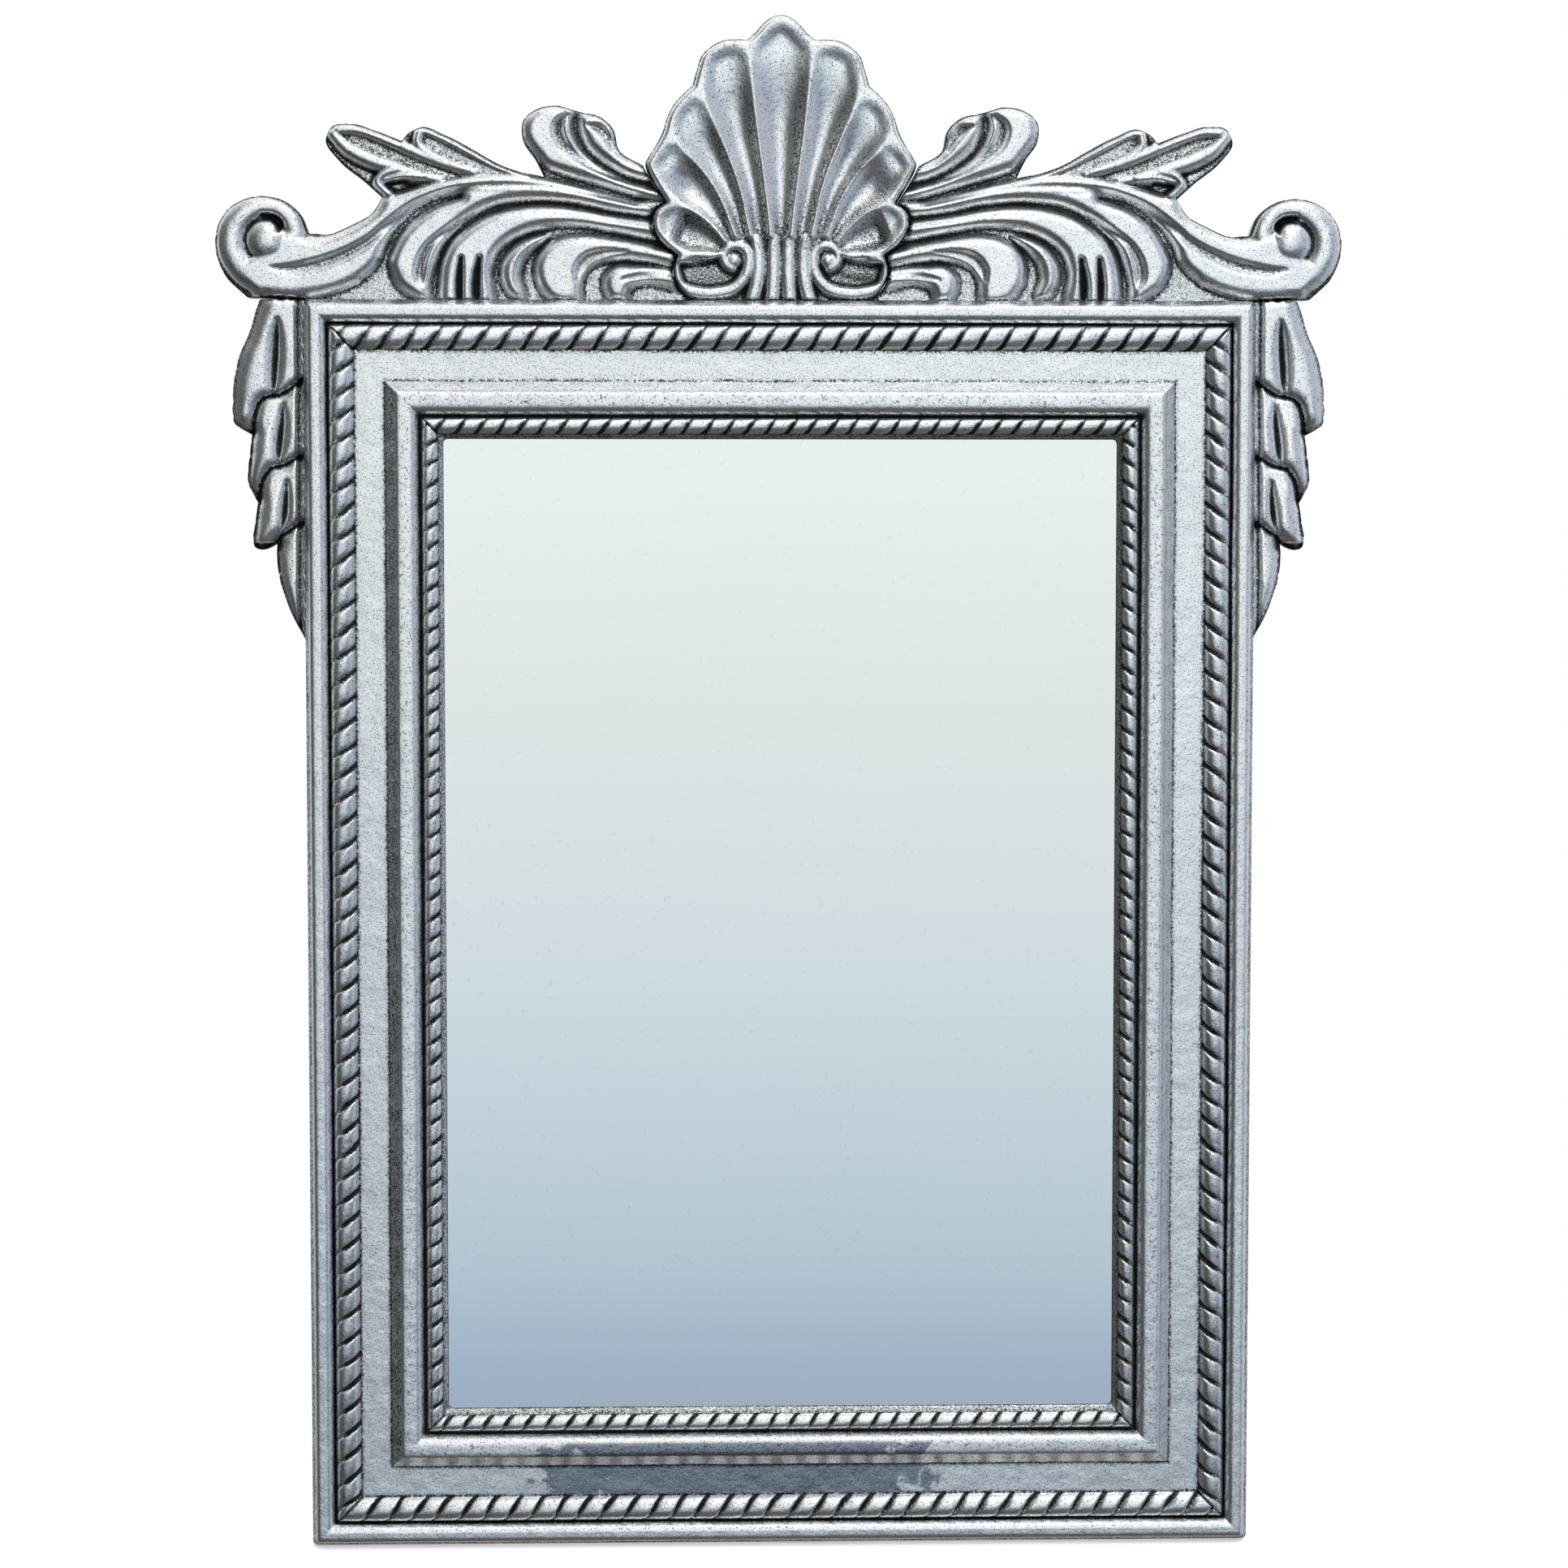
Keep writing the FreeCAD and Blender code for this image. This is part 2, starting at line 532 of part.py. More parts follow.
def button_places():
    """Each turn button's name, pivot and the turn that points it at the glass."""
    x = at.frame_width / 2 - rebate_inset() + at.button_inset
    z = at.frame_height / 2 - rebate_inset() + at.button_inset
    return (
        ("turn_button_top", ZERO, z, 180.0),
        ("turn_button_bottom", ZERO, -z, 0.0),
        ("turn_button_upper_left", -x, at.button_spread, 90.0),
        ("turn_button_lower_left", -x, -at.button_spread, 90.0),
        ("turn_button_upper_right", x, at.button_spread, -90.0),
        ("turn_button_lower_right", x, -at.button_spread, -90.0),
    )


def hanger_x():
    return at.frame_width / 2 - at.hanger_inset


def ring_axis_depth():
    """Depth of the ring's axis: the strap's eye is tangent to the back of the strap."""
    return at.strap_seat_depth - at.strap_thickness + eye_radius()


def eye_bore_radius():
    return at.ring_wire / 2 + at.running_gap


def eye_radius():
    return eye_bore_radius() + at.strap_thickness


def hanger_screw_heights():
    upper = at.hanger_height - at.hanger_screw_first
    return (upper, upper - at.hanger_screw_step)


def build_frame_casting():
    body = new_body("frame_casting")
    path = new_sketch(body, "XZ_Plane")
    half_width = at.frame_width / 2
    half_height = at.frame_height / 2
    draw_path(path, ((ZERO, half_height), (half_width, half_height), (half_width, -half_height),
                     (-half_width, -half_height), (-half_width, half_height)))
    profile = new_sketch(body, "YZ_Plane")
    draw_path(profile, [corner_in_section(corner) for corner in moulding_profile()])
    document.recompute()
    add_pipe(body, profile, path)
    round_corners(body)
    add_hollow_bosses(body)
    drill_frame(body)
    return body


def corner_in_section(corner):
    """Turns (height, depth) pairs into the section plane's (y, z) pairs."""
    turned = []
    for height, depth in zip(corner[0::2], corner[1::2]):
        turned += [-depth, height]
    return tuple(turned)


def add_hollow_bosses(body):
    """Bosses inside the hollow back, each rooted in its floor."""
    root = at.hollow_depth + at.casting_wall / 2
    buttons = new_sketch(body, "XZ_Plane", at.rebate_back_depth)
    for _, x, z, _ in button_places():
        draw_circle(buttons, x, z, at.button_boss_diameter / 2)
    add_pad(body, buttons, root - at.rebate_back_depth)
    pads = new_sketch(body, "XZ_Plane")
    for x, z in pad_places():
        draw_circle(pads, x, z, at.pad_diameter / 2)
    add_pad(body, pads, root)
    straps = new_sketch(body, "XZ_Plane", at.strap_seat_depth)
    top = at.hanger_height - eye_radius() - at.seam_gap * 2
    bottom = at.hanger_height - at.strap_length
    for _, sign in side_signs():
        middle = hanger_x() * sign
        draw_rectangle(straps, middle - at.strap_width / 2, bottom, middle + at.strap_width / 2, top)
    add_pad(body, straps, root - at.strap_seat_depth)


def drill_frame(body):
    """Screw holes in the bosses and in the side walls."""
    buttons = new_sketch(body, "XZ_Plane", at.rebate_back_depth)
    for _, x, z, _ in button_places():
        draw_circle(buttons, x, z, at.small_shank / 2 + at.shank_gap)
    add_pocket(body, buttons, at.small_grip + at.seam_gap, backwards=True)
    hangers = new_sketch(body, "XZ_Plane", at.strap_seat_depth)
    for _, sign in side_signs():
        for z in hanger_screw_heights():
            draw_circle(hangers, hanger_x() * sign, z, at.hanger_shank / 2 + at.shank_gap)
    add_pocket(body, hangers, at.hanger_grip + at.seam_gap, backwards=True)
    crest = new_sketch(body, "XY_Plane", at.frame_height / 2 + at.overrun)
    for x in crest_screw_places():
        draw_circle(crest, x, -at.fixing_depth, at.fixing_shank / 2 + at.shank_gap)
    add_pocket(body, crest, at.side_wall + at.overrun * 2)
    for _, sign in side_signs():
        leaf = new_sketch(body, "YZ_Plane", (at.frame_width / 2 + at.overrun) * sign)
        for z in leaf_screw_heights():
            draw_circle(leaf, -at.fixing_depth, z, at.fixing_shank / 2 + at.shank_gap)
        add_pocket(body, leaf, at.side_wall + at.overrun * 2, backwards=sign < 0)


def pad_places():
    x = at.frame_width / 2 - at.pad_inset
    z = at.frame_height / 2 - at.pad_inset
    return ((-x, z), (x, z), (-x, -z), (x, -z))


def outer_wing_screw():
    return at.frame_width / 2 - at.wing_screw_inset


def crest_screw_places():
    offsets = (outer_wing_screw(), at.wing_screw_inner, at.shell_screw_offset)
    return tuple(offset * sign for offset in offsets for sign in (-1, 1))


def leaf_screw_heights():
    top = at.frame_height / 2
    return (top - at.leaf_screw_upper, top - at.leaf_screw_lower)


def slanted(length):
    """How far a groove of the rope moves sideways while it climbs by this length."""
    angle = at.strand_slant
    return Length(f"({length.text} / tan({angle.text}))", float(length) / math.tan(math.radians(float(angle))))


def strand_count(run, pitch):
    return Length(f"floor({run.text} / {pitch.text})", math.floor(float(run) / float(pitch)))


def build_rope_length(label, run, middle, width, rise, seat, pitch, turn, hand):
    """A half-round rope along local X with slanted grooves and mitred ends, turned to its side."""
    body = new_body(label)
    half = width / 2
    section = new_sketch(body, "YZ_Plane")
    draw_path(section, ((-seat, -half, -seat - rise, ZERO), (-seat, half)))
    document.recompute()
    add_pad(body, section, run + width, both_ways=True)
    crown = seat + rise
    count = strand_count(run, pitch)
    first = Length(f"((1 - {count.text}) * {pitch.text} / 2)", (1 - float(count)) * float(pitch) / 2)
    groove = new_sketch(body, "XZ_Plane", crown)
    climb = half + at.overrun
    lean = slanted(climb) * hand
    side = at.strand_groove_width / 2
    draw_path(groove, ((first - lean - side, -climb), (first - lean + side, -climb),
                       (first + lean + side, climb), (first + lean - side, climb)))
    document.recompute()
    pocket = add_pocket(body, groove, at.strand_groove_depth)
    pattern = body.newObject("PartDesign::LinearPattern", f"{body.Name}_strands")
    pattern.Originals = [pocket]
    pattern.Direction = (groove, ["H_Axis"])
    pattern.setExpression("Length", f"({count.text} - 1) * {pitch.text}")
    pattern.setExpression("Occurrences", count.text)
    body.Tip = pattern
    document.recompute()
    mitres = new_sketch(body, "XZ_Plane", crown)
    for sign in (-1, 1):
        inner = (run / 2 - climb) * sign
        outer = (run / 2 + climb) * sign
        draw_path(mitres, ((inner, -climb), (outer, -climb), (outer, climb)))
    document.recompute()
    add_pocket(body, mitres, rise + at.overrun)
    body.Placement.Rotation = FreeCAD.Rotation(Vector(0, 1, 0), turn)
    bind(body, "Placement.Base.x", middle * round(math.sin(math.radians(turn))))
    bind(body, "Placement.Base.z", middle * round(math.cos(math.radians(turn))))
    return body


def build_ropes():
    """The two rope mouldings, each of four mitred lengths."""
    rings = (
        ("outer", outer_rope_middle(), at.outer_rope_width, at.outer_rope_rise, at.rope_seat_depth,
         at.outer_rope_pitch),
        ("inner", inner_rope_middle(), at.inner_rope_width, at.inner_rope_rise, at.inner_seat_depth,
         at.inner_rope_pitch),
    )
    sides = (("top", 0.0, 1), ("right", 90.0, 1), ("bottom", 180.0, 1), ("left", -90.0, -1))
    ropes = []
    for ring, inset, width, rise, seat, pitch in rings:
        for side, turn, hand in sides:
            level = side in ("top", "bottom")
            along = at.frame_width if level else at.frame_height
            across = at.frame_height if level else at.frame_width
            ropes.append(build_rope_length(f"{ring}_rope_{side}", along - inset * 2, across / 2 - inset,
                                           width, rise, seat, pitch, turn, hand))
    return ropes


def build_sheet_in_rebate(label, back_depth, thickness):
    """A flat sheet that drops into the rebate behind the moulding's lip."""
    play = rebate_inset() + at.glass_gap
    width = at.frame_width - play * 2
    height = at.frame_height - play * 2
    box = document.addObject("Part::Box", label)
    box.Label = label
    bind(box, "Length", width)
    bind(box, "Width", thickness)
    bind(box, "Height", height)
    bind(box, "Placement.Base.x", -width / 2)
    bind(box, "Placement.Base.y", -(at.pad_thickness + back_depth + thickness))
    bind(box, "Placement.Base.z", -height / 2)
    return box


def build_glass_and_board():
    board = build_sheet_in_rebate("backing_board", at.rebate_back_depth, at.board_thickness)
    glass_back = at.rebate_back_depth + at.board_thickness
    return [build_sheet_in_rebate("mirror_glass", glass_back, at.glass_thickness), board]


def button_back_depth():
    return at.rebate_back_depth - at.running_gap - at.button_thickness


def build_turn_buttons():
    """Flat tongues with round ends that turn on their screws and hold the board in."""
    buttons = []
    half = at.button_width / 2
    shoulder = at.button_reach - half
    for label, x, z, turn in button_places():
        body = new_body(label)
        tongue = new_sketch(body, "XZ_Plane", button_back_depth())
        draw_path(tongue, ((half, ZERO, ZERO, -half), (half, shoulder),
                           (-half, shoulder, ZERO, at.button_reach), (-half, ZERO)))
        draw_circle(tongue, ZERO, ZERO, at.small_shank / 2 + at.shank_gap)
        document.recompute()
        add_pad(body, tongue, at.button_thickness)
        body.Placement.Rotation = FreeCAD.Rotation(Vector(0, 1, 0), turn)
        bind(body, "Placement.Base.x", x)
        bind(body, "Placement.Base.z", z)
        buttons.append(body)
    return buttons


def build_hanger(side, sign):
    """A strap screwed to its boss, and the ring that turns in the strap's eye."""
    strap = new_body(f"{side}_hanger_strap")
    back = at.strap_seat_depth - at.strap_thickness
    plate = new_sketch(strap, "YZ_Plane")
    draw_rectangle(plate, -at.strap_seat_depth, -at.strap_length, -back, ZERO)
    document.recompute()
    add_pad(strap, plate, at.strap_width, both_ways=True)
    eye = new_sketch(strap, "YZ_Plane")
    draw_circle(eye, -ring_axis_depth(), ZERO, eye_radius())
    document.recompute()
    add_pad(strap, eye, at.strap_width, both_ways=True)
    bore = new_sketch(strap, "YZ_Plane", at.strap_width / 2 + at.overrun)
    draw_circle(bore, -ring_axis_depth(), ZERO, eye_bore_radius())
    document.recompute()
    add_pocket(strap, bore, at.strap_width + at.overrun * 2)
    holes = new_sketch(strap, "XZ_Plane", back - at.overrun)
    for z in hanger_screw_heights():
        draw_circle(holes, ZERO, z - at.hanger_height, at.hanger_shank / 2 + at.shank_gap)
    document.recompute()
    add_pocket(strap, holes, at.strap_thickness + at.overrun * 2, backwards=True)
    place_hanger(strap, sign, at.pad_thickness)
    return [strap, build_ring(side, sign)]


def place_hanger(body, sign, depth):
    bind(body, "Placement.Base.x", hanger_x() * sign)
    bind(body, "Placement.Base.y", -depth)
    bind(body, "Placement.Base.z", at.hanger_height)


def ring_lean():
    """Degrees that the ring leans forwards until its tip almost meets the hollow's floor."""
    room = at.hollow_depth - at.ring_stop_gap - at.ring_wire / 2 - ring_axis_depth()
    reach = at.ring_arm + at.ring_half_width
    return math.degrees(math.asin(float(room) / float(reach)))


def build_ring(side, sign):
    ring = new_body(f"{side}_hanger_ring")
    path = new_sketch(ring, "XZ_Plane")
    half = at.ring_half_width
    bend = at.ring_bend
    bulge_share = 1 - math.sqrt(0.5)
    bulge = bend * bulge_share
    draw_path(path, (
        (ZERO, ZERO),
        (half - bend, ZERO),
        (half, bend, half - bulge, bulge),
        (half, at.ring_arm),
        (-half, at.ring_arm, ZERO, at.ring_arm + half),
        (-half, bend),
        (bend - half, ZERO, bulge - half, bulge),
    ))
    section = new_sketch(ring, "YZ_Plane")
    draw_circle(section, ZERO, ZERO, at.ring_wire / 2)
    document.recompute()
    add_pipe(ring, section, path)
    ring.Placement.Rotation = FreeCAD.Rotation(RIGHT, ring_lean())
    place_hanger(ring, sign, at.pad_thickness + ring_axis_depth())
    return ring


def build_screw(label, shank, length, head, head_height):
    """One slotted screw along local Z: the shank points up and starts where the head ends."""
    screw = document.addObject("PartDesign::Body", label)
    section = new_sketch(screw, "XZ_Plane")
    shoulder = head_height / 2
    draw_path(section, ((ZERO, -head_height), (head / 2 - shoulder, -head_height), (head / 2, -shoulder),
                        (head / 2, ZERO), (shank / 2, ZERO), (shank / 2, length), (ZERO, length)))
    document.recompute()
    add_revolution(screw, section, "V_Axis")
    slot = new_sketch(screw, "XY_Plane", -head_height)
    draw_rectangle(slot, -head / 2, -at.slot_width / 2, head / 2, at.slot_width / 2)
    document.recompute()
    add_pocket(screw, slot, head_height / 2, backwards=True)
    return screw


def set_screws(label, screw, places):
    """One piece for a group of like screws: a copy of the screw at each (x, depth, z), turned."""
    copies = []
    for x, depth, z, axis, turn in places:
        copy = screw.Shape.copy()
        copy.Placement = FreeCAD.Placement(
            Vector(float(x), -float(at.pad_thickness + depth), float(z)), FreeCAD.Rotation(axis, turn))
        copies.append(copy)
    group = document.addObject("Part::Feature", label)
    group.Label = label
    group.Shape = Part.makeCompound(copies)
    screw.Visibility = False
    return group


def build_screws():
    button = build_screw("button_screw", at.small_shank,
                         at.button_thickness + at.running_gap * 2 + at.small_grip,
                         at.small_head, at.small_head_height)
    hanger = build_screw("hanger_screw", at.hanger_shank, at.strap_thickness + at.hanger_grip,
                         at.hanger_head, at.hanger_head_height)
    fixing = build_screw("fixing_screw", at.fixing_shank, at.side_wall + at.fixing_grip,
                         at.fixing_head, at.fixing_head_height)
    button_depth = button_back_depth() - at.running_gap
    strap_back = at.strap_seat_depth - at.strap_thickness
    inside_top = at.frame_height / 2 - at.side_wall
    inside_side = at.frame_width / 2 - at.side_wall
    return [
        set_screws("turn_button_screws", button,
                   [(x, button_depth, z, RIGHT, 90) for _, x, z, _ in button_places()]),
        set_screws("hanger_screws", hanger,
                   [(hanger_x() * sign, strap_back, z, RIGHT, 90)
                    for _, sign in side_signs() for z in hanger_screw_heights()]),
        set_screws("crest_screws", fixing,
                   [(x, at.fixing_depth, inside_top, UP, 0) for x in crest_screw_places()]),
        set_screws("leaf_screws", fixing,
                   [(inside_side * sign, at.fixing_depth, z, Vector(0, 1, 0), 90 * sign)
                    for _, sign in side_signs() for z in leaf_screw_heights()]),
    ]


def build_wall_pads():
    pads = []
    for x, z in pad_places():
        pad = document.addObject("Part::Cylinder", "wall_pad")
        bind(pad, "Radius", at.pad_diameter / 2)
        bind(pad, "Height", at.pad_thickness)
        pad.Placement.Rotation = FreeCAD.Rotation(RIGHT, 90)
        bind(pad, "Placement.Base.x", x)
        bind(pad, "Placement.Base.z", z)
        pads.append(pad)
    group = document.addObject("Part::Compound", "wall_pads")
    group.Label = "wall_pads"
    group.Links = pads
    return group


def outline_face(curves, across, upward):
    """A flat face at the rim, from curves given as shares of two lengths."""
    edges = []
    for curve in curves:
        points = [Vector(x * across, 0, z * upward) for x, z in curve]
        if len(points) == 2:
            edges.append(Part.LineSegment(points[0], points[1]).toShape())
            continue
        spline = Part.BSplineCurve()
        spline.interpolate(points)
        edges.append(spline.toShape())
    return Part.Face(Part.Wire(edges))


def thick(face, start, end):
    """Extrudes a face from one depth to another."""
    moved = face.copy()
    moved.translate(FRONT * start)
    return moved.extrude(FRONT * (end - start))


def along_line(stations, across, upward):
    """Yields each station's centre, its sideways direction and half its width, in millimetres."""
    centres = [Vector(x * across, 0, z * upward) for x, z, _ in stations]
    last = len(centres) - 1
    for place, centre in enumerate(centres):
        heading = centres[min(place + 1, last)] - centres[max(place - 1, 0)]
        heading.normalize()
        yield centre, heading.cross(FRONT), stations[place][2] * abs(across)


def strand_solid(stations, across, upward, plate_depth, rise):
    """A domed strand, lofted along its line and rooted in the plate that carries it."""
    widest = max(station[2] for station in stations) * abs(across)
    root = plate_depth - float(at.strand_sink)
    sections = []
    for centre, sideways, half in along_line(stations, across, upward):
        crown = plate_depth + rise * math.sqrt(half / widest)
        left = centre + sideways * half + FRONT * root
        right = centre - sideways * half + FRONT * root
        dome = Part.Arc(left, centre + FRONT * crown, right).toShape()
        sections.append(Part.Wire([dome, Part.LineSegment(right, left).toShape()]))
    return Part.makeLoft(sections, True, True)


def trough_solid(stations, across, upward, face_depth, cut):
    """A cutting shape with a round bottom that widens with its line."""
    widest = max(station[2] for station in stations) * abs(across)
    lid = face_depth + float(at.overrun)
    sections = []
    for centre, sideways, half in along_line(stations, across, upward):
        left = centre + sideways * half
        right = centre - sideways * half
        floor = centre + FRONT * (face_depth - cut * half / widest)
        bottom = Part.Arc(left + FRONT * face_depth, floor, right + FRONT * face_depth).toShape()
        rim = Part.makePolygon([right + FRONT * face_depth, right + FRONT * lid, left + FRONT * lid,
                                left + FRONT * face_depth])
        sections.append(Part.Wire([bottom] + rim.Edges))
    return Part.makeLoft(sections, True, True)


def mirrored_stations(stations):
    return tuple((-x, z, half) for x, z, half in stations)


def screw_hole(start, direction):
    """A hole for one crest or leaf screw, from its mouth inwards."""
    radius = float(at.fixing_shank / 2 + at.shank_gap)
    length = float(at.fixing_grip + at.seam_gap + at.overrun)
    return Part.makeCylinder(radius, length, start - direction * float(at.overrun), direction)


def shell_face(clearance=0.0):
    """The shell's outline, drawn on one side and mirrored, and stretched by a clearance at its widest."""
    widest = max(x for curve in shell_half_shares for x, _ in curve) * float(crest_reach())
    stretch = 1 + clearance / widest
    across = float(crest_reach()) * stretch
    upward = float(at.crest_rise) * stretch
    other_side = tuple(tuple((-x, z) for x, z in reversed(curve)) for curve in reversed(shell_half_shares))
    return outline_face(shell_half_shares + other_side, across, upward)


def build_shell():
    across = float(crest_reach())
    upward = float(at.crest_rise)
    face = shell_face()
    ridge = float(at.shell_depth)
    foot = float(at.shell_foot_depth)
    shell = thick(face, 0, ridge)
    flutes = []
    for stations in shell_flute_shares:
        flutes.append(trough_solid(stations, across, upward, ridge, float(at.flute_cut)))
        if stations[0][0] > 0:
            flutes.append(trough_solid(mirrored_stations(stations), across, upward, ridge, float(at.flute_cut)))
    for half_width_share, height_share in shell_foot_shares:
        half = half_width_share * across
        flutes.append(Part.makeBox(half * 2, ridge, height_share * upward + float(at.overrun),
                                   Vector(-half, -foot - ridge, -float(at.overrun))))
    shell = shell.cut(flutes)
    raised = []
    for stations in reed_shares + (shell_scroll_shares,):
        for line in (stations, mirrored_stations(stations)):
            raised.append(strand_solid(line, across, upward, foot, float(at.reed_rise)))
    shell = shell.fuse(raised).common(thick(face, 0, ridge))
    hollow_depth = ridge - float(at.flute_cut + at.casting_wall)
    hollow = outline_face(shell_hollow_shares, across, upward)
    cuts = [thick(hollow, -float(at.overrun), hollow_depth)]
    for sign in (-1, 1):
        start = Vector(float(at.shell_screw_offset) * sign, -float(at.fixing_depth), 0)
        cuts.append(screw_hole(start, UP))
    return [crest_piece("shell_crest", shell.cut(cuts))]


def build_wings():
    """The left wing as read from the outline, and the right one mirrored from it."""
    across = -float(crest_reach())
    upward = float(at.crest_rise)
    ground = float(at.ground_depth)
    rise = float(at.strand_rise)
    face = outline_face(wing_outline_shares, across, upward)
    strands = [strand_solid(line, across, upward, ground, rise) for line in wing_strand_shares.values()]
    x, z, radius = volute_button_share
    button_radius = radius * abs(across)
    button_centre = Vector(x * across, -(ground + float(at.volute_rise) - button_radius), z * upward)
    strands.append(Part.makeSphere(button_radius, button_centre))
    wing = thick(face, 0, ground).fuse(strands)
    wing = wing.common(thick(face, 0, ground + float(at.volute_rise)))
    hollow = outline_face(wing_hollow_shares, across, upward)
    cuts = [thick(hollow, -float(at.overrun), ground - float(at.casting_wall))]
    cuts += [trough_solid(line, across, upward, ground + rise, rise) for line in finger_slot_shares]
    cuts.append(thick(shell_face(float(at.seam_gap)), -float(at.overrun),
                      ground + float(at.volute_rise + at.overrun)))
    for offset in (at.wing_screw_inner, outer_wing_screw()):
        cuts.append(screw_hole(Vector(-float(offset), -float(at.fixing_depth), 0), UP))
    wing = wing.cut(cuts)
    return [crest_piece("left_scroll_wing", wing),
            crest_piece("right_scroll_wing", wing.mirror(Vector(), RIGHT))]


def crest_piece(label, shape):
    """Seats an ornament on the middle of the frame's top."""
    piece = document.addObject("Part::Feature", label)
    piece.Label = label
    piece.Shape = shape
    bind(piece, "Placement.Base.y", -at.pad_thickness)
    bind(piece, "Placement.Base.z", seam_height())
    return piece


def build_leaves():
    """The leaf against the frame's left side, and its mirror image on the right."""
    across = -float(at.leaf_reach)
    upward = -float(at.leaf_drop)
    ground = float(at.leaf_ground_depth)
    rise = float(at.strand_rise)
    face = outline_face(leaf_outline_shares, across, upward)
    strands = [strand_solid(line, across, upward, ground, rise) for line in leaf_strand_shares.values()]
    leaf = thick(face, 0, ground).fuse(strands).common(thick(face, 0, ground + rise))
    holes = []
    for drop in (at.leaf_screw_upper, at.leaf_screw_lower):
        start = Vector(0, -float(at.fixing_depth), float(at.seam_gap - drop))
        holes.append(screw_hole(start, Vector(-1, 0, 0)))
    leaf = leaf.cut(holes)
    pieces = []
    for (side, sign), shape in zip(side_signs(), (leaf, leaf.mirror(Vector(), RIGHT))):
        piece = document.addObject("Part::Feature", f"{side}_leaf_drop")
        piece.Label = piece.Name
        piece.Shape = shape
        bind(piece, "Placement.Base.x", at.frame_width / 2 * sign)
        bind(piece, "Placement.Base.y", -at.pad_thickness)
        bind(piece, "Placement.Base.z", seam_height() - at.seam_gap)
        pieces.append(piece)
    return pieces


def check_features():
    for feature in document.Objects:
        if "Invalid" in feature.State or "Error" in feature.State:
            raise RuntimeError(f"{feature.Label} did not compute")


def write_parts(pieces):
    os.makedirs("parts", exist_ok=True)
    for piece in pieces:
        shape = piece.Shape
        if shape.isNull() or not shape.isValid():
            raise RuntimeError(f"{piece.Label} has no valid shape")
        shape.exportStep(f"parts/{piece.Label}.step")
        print(piece.Label, len(shape.Solids), round(shape.Volume), len(shape.Faces))


def build_mirror():
    fill_sheet()
    pieces = [build_frame_casting()]
    pieces += build_ropes()
    pieces += build_glass_and_board()
    pieces += build_turn_buttons()
    for side, sign in side_signs():
        pieces += build_hanger(side, sign)
    pieces += build_screws()
    pieces.append(build_wall_pads())
    pieces += build_shell()
    pieces += build_wings()
    pieces += build_leaves()
    document.recompute()
    check_features()
    write_parts(pieces)


build_mirror()
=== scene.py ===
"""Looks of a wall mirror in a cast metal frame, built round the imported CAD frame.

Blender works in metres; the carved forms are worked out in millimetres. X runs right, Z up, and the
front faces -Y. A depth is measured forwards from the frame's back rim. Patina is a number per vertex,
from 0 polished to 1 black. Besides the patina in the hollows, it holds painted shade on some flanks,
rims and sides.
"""

import math

import bpy
import numpy as np
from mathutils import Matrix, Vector
from mathutils.geometry import delaunay_2d_cdt


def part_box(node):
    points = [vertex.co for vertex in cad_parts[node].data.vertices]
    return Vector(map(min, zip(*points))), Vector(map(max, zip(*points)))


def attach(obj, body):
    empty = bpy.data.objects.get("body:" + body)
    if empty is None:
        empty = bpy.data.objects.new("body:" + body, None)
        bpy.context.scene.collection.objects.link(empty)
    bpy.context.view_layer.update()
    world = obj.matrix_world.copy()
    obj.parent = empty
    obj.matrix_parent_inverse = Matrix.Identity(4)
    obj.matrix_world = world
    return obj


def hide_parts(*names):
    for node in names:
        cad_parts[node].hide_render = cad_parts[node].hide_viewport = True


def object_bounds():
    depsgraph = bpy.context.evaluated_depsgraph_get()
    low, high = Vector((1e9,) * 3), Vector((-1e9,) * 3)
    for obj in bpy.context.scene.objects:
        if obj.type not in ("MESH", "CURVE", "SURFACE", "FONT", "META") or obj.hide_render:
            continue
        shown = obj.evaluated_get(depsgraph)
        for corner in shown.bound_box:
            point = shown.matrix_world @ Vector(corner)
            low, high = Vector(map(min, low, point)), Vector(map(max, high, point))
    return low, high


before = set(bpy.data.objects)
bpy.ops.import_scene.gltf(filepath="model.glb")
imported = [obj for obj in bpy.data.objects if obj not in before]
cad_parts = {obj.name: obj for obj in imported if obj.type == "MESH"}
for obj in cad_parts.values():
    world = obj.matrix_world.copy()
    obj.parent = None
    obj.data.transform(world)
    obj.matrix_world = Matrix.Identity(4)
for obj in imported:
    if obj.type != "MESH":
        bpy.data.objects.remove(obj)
cad_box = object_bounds()

MM = 0.001
casting_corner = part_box("frame_casting")[1]
RIM_Y = casting_corner.y / MM
HALF_WIDTH = casting_corner.x / MM
HALF_HEIGHT = casting_corner.z / MM
CREST_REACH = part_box("right_scroll_wing")[1].x / MM
CREST_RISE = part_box("shell_crest")[1].z / MM - HALF_HEIGHT
LEAF_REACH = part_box("right_leaf_drop")[1].x / MM - HALF_WIDTH
LEAF_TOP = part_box("right_leaf_drop")[1].z / MM
LEAF_DROP = LEAF_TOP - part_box("right_leaf_drop")[0].z / MM

